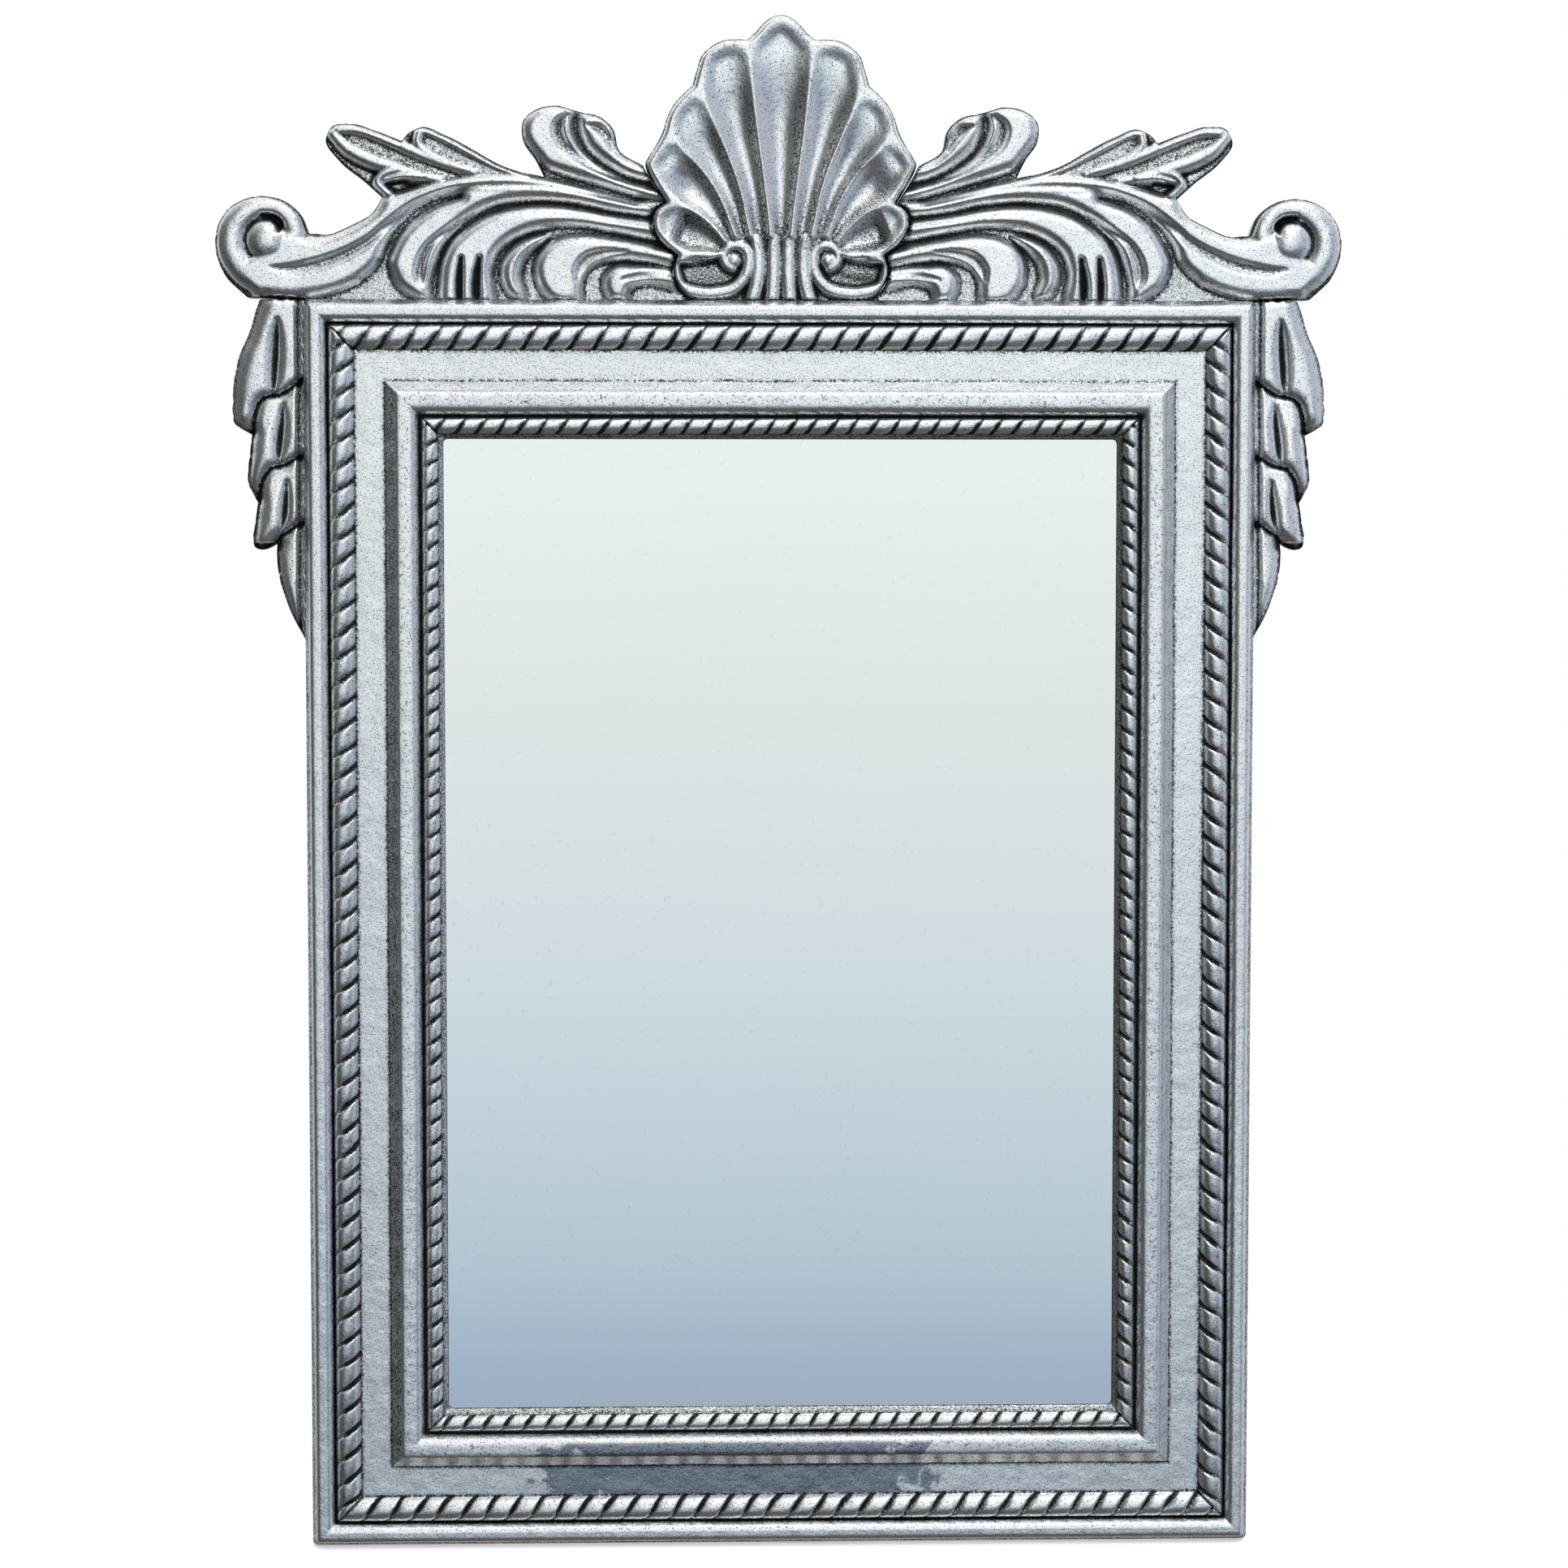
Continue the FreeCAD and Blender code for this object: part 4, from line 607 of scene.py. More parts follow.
def cast_relief(name, relief, hollow, hollow_depth, patina_and_painted_shade, middle, foot, turn=1):
    """The carved face, its side walls and its hollow back as one piece; turn -1 mirrors it."""
    flat, triangles, count = filled(relief, 1)
    front = np.column_stack([flat[:, 0], relief.sample(relief.depth, flat), flat[:, 1]])
    points = [front] + [front[:count] * (1, level, 1) for level in WALL_LEVELS]
    tones = [relief.sample(patina_and_painted_shade, flat)] + [np.full(count, tone) for tone in WALL_TONES]
    faces = [tuple(face) for face in triangles]
    starts = [0] + [len(front) + count * k for k in range(len(WALL_TONES))]
    for upper, lower in zip(starts, starts[1:]):
        faces += band(upper, lower, count)
    back_flat, back_triangles, _ = filled(relief, 2)
    loop = smooth_line(list(hollow) + [hollow[0]], LINE_STEP)
    part, ratio, _ = relief.nearness(loop, HOLLOW_ROUNDING)
    bowl = np.full(relief.x.shape, float(hollow_depth))
    bowl[part] = hollow_depth * smoothstep(ratio)
    back_depth = np.where(relief.inside(loop[:-1]), bowl, 0)
    start = sum(len(block) for block in points)
    points.append(np.column_stack([back_flat[:, 0], relief.sample(back_depth, back_flat), back_flat[:, 1]]))
    tones.append(np.full(len(back_flat), BACK_TONE))
    faces += [tuple(start + corner for corner in face[::-1]) for face in back_triangles]
    points = np.concatenate(points)
    points[:, 0] = points[:, 0] * turn + middle
    points[:, 2] += foot
    if turn < 0:
        faces = [face[::-1] for face in faces]
    return add_mesh(name, points, faces, np.concatenate(tones))


# Pieces of the crest.
def build_wings(material):
    curves = wing_outline_shares + shell_side_shares + wing_foot_shares
    outline, numbers = outline_of(curves, on_crest)
    on_rim = numbers < len(wing_outline_shares)
    on_tip = numbers == numbers.max()
    roundings = np.where(on_rim | on_tip, WING_ROUNDING, WING_SEAM_ROUNDING).astype(np.float32)
    relief = Relief(outline, GROUND_DEPTH)
    for name, corners in wing_fill_shares.items():
        relief.raise_pillow(on_crest(corners), GROUND_DEPTH, wing_fill_rises[name], FILL_ROUNDING)
    for corners in wing_pillow_shares.values():
        relief.raise_pillow(on_crest(corners), GROUND_DEPTH, STRAND_RISE, STRAND_ROUNDING, STRAND_SOFTNESS)
    for stations in wing_strand_shares.values():
        relief.raise_strand(on_crest(stations), GROUND_DEPTH, STRAND_RISE)
    ball = on_crest(spot(volute_ball))
    relief.raise_strand(ball, GROUND_DEPTH, VOLUTE_RISE)
    for name, stations in wing_groove_shares.items():
        relief.sink_groove(on_crest(stations), wing_groove_cuts[name])
    relief.depth = blurred(relief.depth, CARVING_BLUR)
    relief.round_outline(roundings, WING_RIM_DEPTH, GROUND_DEPTH + VOLUTE_RISE)
    patina_and_painted_shade = relief_patina(relief, GROUND_DEPTH, 0.12, 0.16)
    for name in ("first_leaf", "second_leaf"):
        lobe = np.array(on_crest(wing_fill_shares[name]))
        low = smoothstep((GROUND_DEPTH + STRAND_RISE - 1.0 - relief.depth) / 1.4)
        patina_and_painted_shade += np.where(relief.inside(lobe), LOBE_PATINA * low, 0)
    darken_near(relief, patina_and_painted_shade, outline[~on_rim & (numbers < numbers.max() - 1)], *SHELL_SIDE_PATINA)
    # Painted shade along the wing's outer rim.
    darken_near(relief, patina_and_painted_shade, outline[on_rim], *WING_RIM_PAINTED_SHADE)
    part, ratio, _ = relief.nearness(smooth_line(ball), VOLUTE_CHANNEL_REACH)
    low = smoothstep((GROUND_DEPTH + STRAND_RISE - 0.6 - relief.depth[part]) / 1.6)
    patina_and_painted_shade[part] += CHANNEL_PATINA * low * smoothstep((1 - ratio) / 0.2)
    for side, turn in (("left", -1), ("right", 1)):
        wing = cast_relief(f"{side}_scroll_wing_cast", relief, on_crest(wing_hollow_shares),
                           GROUND_DEPTH - CASTING_WALL, patina_and_painted_shade, 0.0, HALF_HEIGHT, turn)
        finish_piece(wing, material, "mirror", "pewter", f"{side}_scroll_wing")


def carve_flutes(relief, outline):
    """Sinks the shell's flutes into its face and returns how much each place lies on a flank with painted
    shade.
    """
    rim_width = SHELL_RIM_WIDTH + SHELL_RIM_GAIN * smoothstep((outline[:, 1] / CREST_RISE - 0.35) / 0.3)
    part, ratio, _ = relief.nearness(outline, rim_width)
    clear_of_rim = np.ones(relief.x.shape)
    clear_of_rim[part] = smoothstep((ratio - 0.20) / 0.80)
    carved = np.zeros(relief.x.shape)
    shaded = np.zeros(relief.x.shape)
    for fade, stations in zip(flute_fades, shell_flute_shares):
        lines = (stations, mirrored(stations)) if stations[0][0] > 0 else (stations,)
        for line in lines:
            centre = smooth_line(on_crest(line), LINE_STEP)
            part, ratio, place = relief.nearness(centre, centre[:, 2])
            half = centre[place, 2]
            to_end = 1 - place / (len(centre) - 1)
            ease = FLUTE_END_SHARE + (1 - FLUTE_END_SHARE) * smoothstep(to_end / fade)
            bowl = (FLUTE_DEPTH + FLUTE_DEPTH_PER_WIDTH * half) * ease * np.clip(1 - ratio**2.1, 0, 1)
            deeper = (ratio < 1) & (bowl > carved[part])
            carved[part] = np.where(deeper, bowl, carved[part])
            tangent = np.gradient(centre[:, :2], axis=0)[place]
            tangent /= np.linalg.norm(tangent, axis=2, keepdims=True)
            aside = (relief.x[part] - centre[place, 0]) * tangent[..., 1]
            aside -= (relief.z[part] - centre[place, 1]) * tangent[..., 0]
            flank = smoothstep((aside / half - 0.34) / 0.30) * smoothstep((1.02 - ratio) / 0.14)
            shaded[part] = np.where(deeper, flank * np.sqrt(ease), shaded[part])
    relief.depth -= carved * clear_of_rim
    return shaded


def build_shell(material):
    other_side = tuple(mirrored(curve[::-1]) for curve in shell_half_shares[::-1])
    foot_line = (((160, 0), (-160, 0)),)
    outline, numbers = outline_of(shell_half_shares + foot_line + other_side, on_crest)
    on_foot = numbers == len(shell_half_shares)
    roundings = np.where(on_foot, SHELL_FOOT_ROUNDING, SHELL_ROUNDING).astype(np.float32)
    relief = Relief(outline, SHELL_RIDGE_DEPTH)
    shaded = carve_flutes(relief, outline)
    height_share = relief.z / CREST_RISE
    in_foot = relief.inside(np.array(on_crest(shell_foot_shares + mirrored(shell_foot_shares[::-1]))))
    sunk = SHELL_FOOT_DEPTH + FOOT_SLOPE_RISE * smoothstep((height_share - 0.11) / 0.10)
    relief.depth = np.where(in_foot, np.minimum(relief.depth, sunk), relief.depth)
    relief.depth = blurred(relief.depth, 0.8)
    for stations in reed_shares + (scroll_shares,):
        for line in (stations, mirrored(stations)):
            relief.raise_strand(on_crest(line), SHELL_FOOT_DEPTH, REED_RISE, 3.0)
    for line in (spot(scroll_ball), mirrored(spot(scroll_ball))):
        relief.raise_strand(on_crest(line), SHELL_FOOT_DEPTH, REED_RISE)
    relief.depth = blurred(relief.depth, CARVING_BLUR)
    relief.round_outline(roundings, SHELL_RIM_DEPTH, SHELL_RIDGE_DEPTH)
    patina_and_painted_shade = relief_patina(relief, SHELL_FOOT_DEPTH - 1.1, 0.015, 0.10)
    narrow = smoothstep((0.44 - height_share) / 0.26)
    patina_and_painted_shade += VALLEY_PATINA * narrow * smoothstep((SHELL_RIDGE_DEPTH - 0.6 - relief.depth) / 1.5)
    # Painted shade on the flutes' dark flanks, where reflections fall dark.
    patina_and_painted_shade += FLANK_PAINTED_SHADE * blurred(shaded, 1.0)
    low = smoothstep((SHELL_FOOT_DEPTH + 1.2 - relief.depth) / 1.2)
    patina_and_painted_shade += np.where(in_foot, FOOT_PATINA * low, 0)
    shell = cast_relief("shell_crest_cast", relief, on_crest(shell_hollow_shares),
                        SHELL_RIDGE_DEPTH - FLUTE_ROOM - CASTING_WALL, patina_and_painted_shade, 0.0, HALF_HEIGHT)
    finish_piece(shell, material, "mirror", "pewter", "shell_crest")


def build_leaves(material):
    outline, numbers = outline_of(leaf_outline_shares, on_leaf)
    roundings = np.full(len(outline), LEAF_ROUNDING, np.float32)
    roundings[numbers == LOWEST_TIER] = LOWEST_TIER_ROUNDING
    roundings[numbers == 0] = LEAF_TOP_ROUNDING
    roundings[numbers == numbers.max()] = LEAF_SEAM_ROUNDING
    relief = Relief(outline, LEAF_DEPTH)
    relief.round_outline(roundings, LEAF_DEPTH - LEAF_EDGE_FALL, LEAF_DEPTH, 0.75)
    relief.depth = blurred(relief.depth, 1.1 / relief.step)
    boundaries = [on_leaf(boundary) for boundary in leaf_boundary_shares]
    for boundary in boundaries:
        line = np.array(boundary)
        below = np.interp(relief.x, line[:, 0], line[:, 1]) - relief.z
        relief.depth -= np.where(below > 0, TIER_STEP * np.clip(1 - below / TIER_SLOPE, 0, 1), 0)
        relief.sink_valley(line, TIER_GROOVES)
    for slot in leaf_slot_shares:
        relief.sink_valley(np.array(on_leaf(slot)), SLOT_GROOVES)
    seam = [(LEAF_SEAM_INSET, height, 1.1) for height in np.linspace(2.0, -LEAF_DROP - 2.0, 40)]
    relief.depth -= np.where(relief.x < LEAF_SEAM_INSET, LEAF_SEAM_FALL * relief.x / LEAF_SEAM_INSET, 0)
    relief.sink_groove(seam, 1.4, 1.5)
    relief.depth = blurred(relief.depth, CARVING_BLUR)
    relief.round_outline(roundings * 0.35, LEAF_RIM_DEPTH, LEAF_DEPTH)
    patina_and_painted_shade = relief_patina(relief, LEAF_DEPTH - 6.5, 0.12)
    patina_and_painted_shade += SEAM_PATINA * smoothstep((LEAF_SEAM_INSET + 0.4 - relief.x) / 0.8)
    # Painted shade along the leaf's outer rim.
    darken_near(relief, patina_and_painted_shade, outline[(numbers > 0) & (numbers < numbers.max())], *LEAF_RIM_PAINTED_SHADE)
    for boundary in boundaries:
        darken_near(relief, patina_and_painted_shade, smooth_line(boundary), *TIER_PATINA)
    for side, turn in (("left", -1), ("right", 1)):
        leaf = cast_relief(f"{side}_leaf_drop_cast", relief, on_leaf(leaf_hollow_shares), 0.0, patina_and_painted_shade,
                           HALF_WIDTH * turn, LEAF_TOP, turn)
        finish_piece(leaf, material, "mirror", "pewter", f"{side}_leaf_drop")


# Ropes.
def rope_noise(count, seed):
    """A slow, repeatable wander between -1 and 1 along a line."""
    rng = np.random.default_rng(seed)
    knots = rng.uniform(-1, 1, count // 8 + 4)
    where = np.linspace(0, len(knots) - 1.001, count)
    k = where.astype(int)
    return knots[k] + (knots[k + 1] - knots[k]) * smoothstep(where - k)


def build_rope(name, run, middle, width, rise, seat, pitch, turn, hand, seed, material):
    """A half-round rope of twisted strands, mitred at both ends, along one side of the frame."""
    half = width / 2 + ROPE_OVERLAP
    across = np.sin(np.linspace(-math.pi / 2, math.pi / 2, 25))
    count = int(run / ROPE_STEP)
    along = np.linspace(-1, 1, count)
    v, t = np.meshgrid(across, along, indexing="ij")
    s = t * (run / 2 + v * half)
    wander = np.interp(s, np.linspace(-run / 2 - half, run / 2 + half, count), rope_noise(count, seed))
    phase = s / pitch - hand * ROPE_LEAN * half / pitch * np.arcsin(np.clip(v, -1, 1)) + 0.06 * wander
    place = (phase - np.round(phase)) * 2
    from_middle = np.abs(place)
    breadth = 0.30 - 0.12 * v
    groove = smoothstep((from_middle - 1 + breadth) / breadth)
    reach = 0.25 + 0.75 * smoothstep((0.90 - v) / 1.0)
    lobe = 1 - 0.06 * from_middle**2 - 0.07 * hand * place - 0.30 * groove * reach
    dome = np.sqrt(np.clip(1 - np.abs(v) ** 2.3, 0, 1))
    depth = seat - ROPE_SUNK + (rise + 0.35) * dome * lobe
    to_mitre = (1 - np.abs(t)) * (run / 2 + v * half)
    mitre = smoothstep(1 - to_mitre / MITRE_REACH)
    depth -= MITRE_CUT * mitre
    edge = smoothstep((np.abs(v) - 0.90) / 0.08)
    # Painted shadow on the rope's outer side, next to the bead.
    painted_shadow = 0.16 * smoothstep((v - 0.45) / 0.5)
    line = smoothstep((from_middle - 1 + breadth * 0.80) / (breadth * 0.35))
    tone = np.clip(1.1 * line * reach + 0.6 * edge + painted_shadow + 0.8 * mitre, 0, 1)
    outward = middle + v * half
    angle = math.radians(turn)
    x = s * math.cos(angle) + outward * math.sin(angle)
    z = -s * math.sin(angle) + outward * math.cos(angle)
    points = np.column_stack([x.ravel(), depth.ravel(), z.ravel()])
    rows, columns = v.shape
    faces = []
    for i in range(rows - 1):
        for j in range(columns - 1):
            k = i * columns + j
            faces.append((k, k + 1, k + columns + 1, k + columns))
    rope = add_mesh(f"{name}_strands", points, faces, tone.ravel())
    finish_piece(rope, material, "mirror", "pewter", name)


def build_ropes(material):
    outer_inset = EDGE_BEVEL + BEAD_WIDTH + ROPE_GAP + OUTER_ROPE_WIDTH / 2
    inner_inset = moulding_width() - SIGHT_WIDTH - INNER_ROPE_WIDTH / 2
    rings = (("outer", outer_inset, OUTER_ROPE_WIDTH, OUTER_ROPE_RISE, ROPE_SEAT_DEPTH, OUTER_ROPE_PITCH),
             ("inner", inner_inset, INNER_ROPE_WIDTH, INNER_ROPE_RISE, INNER_SEAT_DEPTH, INNER_ROPE_PITCH))
    sides = (("top", 0, 1), ("right", 90, 1), ("bottom", 180, 1), ("left", -90, -1))
    for ring, inset, width, rise, seat, pitch in rings:
        for seed, (side, turn, hand) in enumerate(sides):
            level = side in ("top", "bottom")
            along = HALF_WIDTH if level else HALF_HEIGHT
            across = HALF_HEIGHT if level else HALF_WIDTH
            build_rope(f"{ring}_rope_{side}", (along - inset) * 2, across - inset, width, rise, seat, pitch,
                       turn, hand, seed + len(ring), material)


# The frame's casting.
def moulding_width():
    return (EDGE_BEVEL + BEAD_WIDTH + ROPE_GAP + OUTER_ROPE_WIDTH + FLAT_WIDTH + STEP_WIDTH + ROLL_WIDTH
            + INNER_GAP + INNER_ROPE_WIDTH + SIGHT_WIDTH)


def rows_from(inset, depth, *rows):
    """Rows of the casting's section that are given from an inset and a depth."""
    return [(inset + across, depth + forward, tone, wander) for across, forward, tone, wander in rows]


def profile_rows():
    """The casting's section as rows of inset, depth, patina and how much the line wanders."""
    bead = EDGE_BEVEL + BEAD_WIDTH
    rope = bead + ROPE_GAP + OUTER_ROPE_WIDTH
    step = rope + FLAT_WIDTH
    roll = step + STEP_WIDTH
    roll_end = roll + ROLL_WIDTH
    seat_end = roll_end + INNER_GAP + INNER_ROPE_WIDTH
    sight = seat_end + SIGHT_WIDTH
    rebate = sight - GLASS_OVERLAP
    wall = rebate - SIDE_WALL
    rows = rows_from(0, 0, (0, 0, 0.25, 0), (0, 6, 0.20, 0))
    rows += rows_from(0, WALL_DEPTH, (0, -2, 0.26, 0), (0.15, -0.4, 0.45, 0), (0.6, 0.6, 0.40, 0))
    rows += rows_from(EDGE_BEVEL, BEAD_SIDE_DEPTH, (-0.4, -0.8, 0.34, 0))
    for k in range(13):
        t = k / 12
        crown = BEAD_RISE * (1 - abs(2 * t - 1) ** 5)
        crease = 0.22 * math.exp(-((t - 0.80) / 0.06) ** 2)
        inset = EDGE_BEVEL + (BEAD_WIDTH + 0.7) * t
        rows.append((inset, BEAD_SIDE_DEPTH + crown - crease, 0.02 + 0.4 * crease, 0))
    rows += rows_from(bead, BEAD_SIDE_DEPTH, (1.2, -0.5, 0.20, 0.5), (1.6, -1.4, 0.6, 1))
    rows += rows_from(bead, ROPE_SEAT_DEPTH, (1.9, 0.5, 1, 1), (2.1, 0, 1, 1))
    rows += rows_from(rope, ROPE_SEAT_DEPTH, (-1.0, 0, 1, 1), (-0.35, 0.2, 1, 1))
    rows += rows_from(rope, FLAT_DEPTH, (0.05, -0.25, 0.85, 1), (0.5, 0, 0.50, 1), (1.2, 0, 0.24, 0.6),
                      (2.2, 0, 0.06, 0), (FLAT_WIDTH / 2, 0, 0.02, 0))
    rows += rows_from(step, FLAT_DEPTH, (-2.6, 0, 0.04, 0), (-1.5, 0, 0.26, 1), (-1.0, 0.05, 0.60, 1),
                      (-0.6, 0.25, 0.42, 1))
    for k in range(5):
        t = k / 4
        rows.append((step - 0.3 + (STEP_WIDTH + 1.2) * t, FLAT_DEPTH + 0.45 + 3.2 * t, STEP_TONE, 0.5))
    for k in range(14):
        t = 0.16 + 0.84 * k / 13
        straight = ROLL_SIDE_DEPTH + (ROLL_FOOT_DEPTH - ROLL_SIDE_DEPTH) * t**8
        crown = ROLL_RISE * (1 - abs(2 * t - 1) ** 5)
        rows.append((roll + (ROLL_WIDTH + 0.8) * t, straight + crown, 0.02 + 0.3 * t**8, 0.4))
    rows += rows_from(roll_end, ROLL_FOOT_DEPTH, (1.1, -0.6, 0.7, 0.5))
    rows += rows_from(roll_end, INNER_SEAT_DEPTH, (1.4, 0.2, 1, 0.5), (1.7, 0, 1, 0))
    rows += rows_from(seat_end, INNER_SEAT_DEPTH, (-0.6, 0, 1, 0), (-0.1, 0.1, 0.9, 0), (0.4, -0.5, 0.5, 0))
    rows += rows_from(sight, SIGHT_DEPTH, (-0.5, 0.7, 0.25, 0), (-0.05, 0, 0.4, 0))
    rows += rows_from(sight, GLASS_FRONT_DEPTH, (0, 0.5, 0.8, 0), (0, 0, 1, 0))
    rows += rows_from(rebate, GLASS_FRONT_DEPTH, (0, 0, 0.6, 0))
    rows += rows_from(rebate, REBATE_BACK_DEPTH, (0, 0.4, 0.3, 0), (-0.4, 0, 0.14, 0))
    rows += rows_from(wall, REBATE_BACK_DEPTH, (0.4, 0, 0.14, 0), (0, 0.4, 0.2, 0))
    rows += rows_from(wall, HOLLOW_DEPTH, (0, -1.5, 0.3, 0), (-1.5, 0, 0.2, 0))
    rows += rows_from(SIDE_WALL, HOLLOW_DEPTH, (1.5, 0, 0.2, 0), (0, -1.5, 0.3, 0))
    rows += rows_from(SIDE_WALL, 0, (0, 0.5, 0.2, 0), (-0.5, 0, 0.14, 0))
    return rows + rows_from(0, 0, (0.6, 0, 0.14, 0))


def step_painted_shade(loop):
    """Painted shade on the step's left side, on top of its patina."""
    left = (loop[:, 0] < 0) & (np.abs(loop[:, 1]) - HALF_HEIGHT < np.abs(loop[:, 0]) - HALF_WIDTH)
    return np.where(left, STEP_LEFT_PAINTED_SHADE, 0.0)


def corner_radius(inset):
    """Round outside corners at the rim and round corners at the sight edge."""
    outer = max(OUTER_CORNER_RADIUS - inset * 0.5, 0.15)
    sight = moulding_width()
    inner = SIGHT_CORNER_RADIUS * max(0.0, 1 - abs(inset - sight) / 2.5)
    return max(outer if inset < sight / 2 else 0.1, inner)


def side_places(half_side):
    """Distances from a corner to the middle of a side, close together near the corner."""
    rest = np.linspace(SIDE_START, half_side, int((half_side - SIDE_START) / SIDE_STEP))
    return np.concatenate([CORNER_PLACES, rest])


def loop_points(inset, wander=None):
    """One closed loop round the frame at an inset, clockwise from the top left corner."""
    radius = corner_radius(inset)
    near_end = CORNER_PLACES[-1]
    half_x, half_z = HALF_WIDTH - inset, HALF_HEIGHT - inset
    loop = []
    sides = ((0, 1, half_x, half_z, HALF_WIDTH), (1, 0, half_z, half_x, HALF_HEIGHT),
             (0, -1, half_x, half_z, HALF_WIDTH), (-1, 0, half_z, half_x, HALF_HEIGHT))
    offset = 0
    for out_x, out_z, half_along, half_out, full in sides:
        places = side_places(full)
        stretched = near_end + (places - near_end) * (half_along - near_end) / (full - near_end)
        places = np.where(places > near_end, stretched, places)
        drop = np.zeros(len(places))
        close = places < radius
        bend = (1 - places[close] / radius) * math.pi / 4
        along = half_along - places
        along[close] = half_along - radius + radius * np.sin(bend)
        drop[close] = radius * (1 - np.cos(bend))
        along = np.concatenate([-along, along[::-1][1:]])
        drop = np.concatenate([drop, drop[::-1][1:]])
        if wander is not None:
            drop += wander[offset:offset + len(drop)]
        offset += len(drop)
        out = half_out - drop
        x = along * out_z + out * out_x
        z = -along * out_x + out * out_z
        loop.append(np.column_stack([x, z])[:-1])
    return np.concatenate(loop)


def add_boss(points, faces, tones, corners, low, high):
    """A flat-topped boss that stands back from the hollow's floor."""
    start = sum(len(block) for block in points)
    corners = np.array(corners)
    middle = corners.mean(0)
    inner = middle + (corners - middle) * 0.92
    count = len(corners)
    points += [ring_at(corners, high), ring_at(corners, low + 0.4), ring_at(inner, low)]
    tones.append(np.full(3 * count, BACK_TONE))
    for level in (0, 1):
        faces += band(start + level * count, start + (level + 1) * count, count)
    faces.append(tuple(start + 2 * count + k for k in reversed(range(count))))


def circle(x, z, radius, count=32):
    return [(x + radius * math.cos(2 * math.pi * k / count), z + radius * math.sin(2 * math.pi * k / count))
            for k in range(count)]


def build_frame(material):
    rows = profile_rows()
    length = len(loop_points(0.0))
    # Each of the four sides has one place more, which is the next side's first.
    count = length + 4
    ripple = rope_noise(count, 3) * RIPPLES[0] + rope_noise(count * 2, 4)[:count] * RIPPLES[1]
    points, tones = [], []
    for inset, depth, tone, wander in rows:
        loop = loop_points(inset, ripple * wander)
        points.append(ring_at(loop, depth))
        # The step's left side gets painted shade.
        left_painted_shade = step_painted_shade(loop) if tone == STEP_TONE else 0.0
        tones.append(np.full(len(loop), tone) + left_painted_shade)
    faces = []
    for i in range(len(rows)):
        faces += band(i * length, (i + 1) % len(rows) * length, length)
    boss_z = HALF_HEIGHT - moulding_width() + GLASS_OVERLAP + BUTTON_INSET
    boss_x = HALF_WIDTH - moulding_width() + GLASS_OVERLAP + BUTTON_INSET
    spread = (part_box("turn_button_upper_left")[0].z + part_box("turn_button_upper_left")[1].z) / 2 / MM
    spots = [(0, boss_z), (0, -boss_z)] + [(x, z) for x in (-boss_x, boss_x) for z in (-spread, spread)]
    for x, z in spots:
        add_boss(points, faces, tones, circle(x, z, BUTTON_BOSS_RADIUS), REBATE_BACK_DEPTH, HOLLOW_DEPTH)
    pad_x, pad_z = HALF_WIDTH - PAD_INSET, HALF_HEIGHT - PAD_INSET
    for x, z in ((-pad_x, pad_z), (pad_x, pad_z), (-pad_x, -pad_z), (pad_x, -pad_z)):
        add_boss(points, faces, tones, circle(x, z, PAD_RADIUS), 0.0, HOLLOW_DEPTH)
    for side in ("left", "right"):
        low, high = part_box(f"{side}_hanger_strap")
        x = (low.x + high.x) / 2 / MM
        bottom = low.z / MM
        top = high.z / MM - STRAP_EYE
        corners = [(x - STRAP_WIDTH / 2, bottom), (x + STRAP_WIDTH / 2, bottom), (x + STRAP_WIDTH / 2, top),
                   (x - STRAP_WIDTH / 2, top)]
        add_boss(points, faces, tones, corners, STRAP_SEAT_DEPTH, HOLLOW_DEPTH)
    casting = add_mesh("frame_casting_body", np.concatenate(points), faces, np.concatenate(tones))
    casting.data.set_sharp_from_angle(angle=math.radians(SHARP_ANGLE))
    finish_piece(casting, material, "mirror", "pewter", "frame_casting")


def finish_piece(piece, material, body, slot, *nodes):
    piece.data.materials.append(material)
    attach(piece, body)
    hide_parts(*nodes)


# Materials.
class Value:
    """A number or colour in a node tree. Numbers take part in sums and products."""

    def __init__(self, tree, socket):
        self.tree = tree
        self.socket = socket

    def combined(self, operation, first, second):
        return made_by(self.tree, "ShaderNodeMath", "Value", {0: first, 1: second}, operation=operation)

    def __add__(self, other):
        return self.combined("ADD", self, other)

    def __sub__(self, other):
        return self.combined("SUBTRACT", self, other)

    def __rsub__(self, other):
        return self.combined("SUBTRACT", other, self)

    def __mul__(self, other):
        return self.combined("MULTIPLY", self, other)

    def larger(self, other):
        return self.combined("MAXIMUM", self, other)

    def above(self, limit):
        return self.combined("GREATER_THAN", self, limit)


def set_inputs(made, inputs):
    """Links or sets a node's inputs, given by name or number."""
    for name, value in inputs.items():
        if isinstance(value, Value):
            value.tree.links.new(value.socket, made.inputs[name])
        else:
            made.inputs[name].default_value = value


def made_by(tree, kind, output, inputs, **properties):
    """What a new node with these properties and inputs gives out."""
    made = tree.nodes.new(kind)
    for name, value in properties.items():
        setattr(made, name, value)
    set_inputs(made, inputs)
    return Value(tree, made.outputs[output])


def new_material(name):
    material = bpy.data.materials.new(name)
    material.use_nodes = True
    tree = material.node_tree
    return material, tree, tree.nodes["Principled BSDF"]


def place_in(tree):
    return made_by(tree, "ShaderNodeTexCoord", "Object", {})


def axes_of(place):
    """A place's three numbers."""
    made = place.tree.nodes.new("ShaderNodeSeparateXYZ")
    set_inputs(made, {"Vector": place})
    return [Value(place.tree, made.outputs[axis]) for axis in "XYZ"]


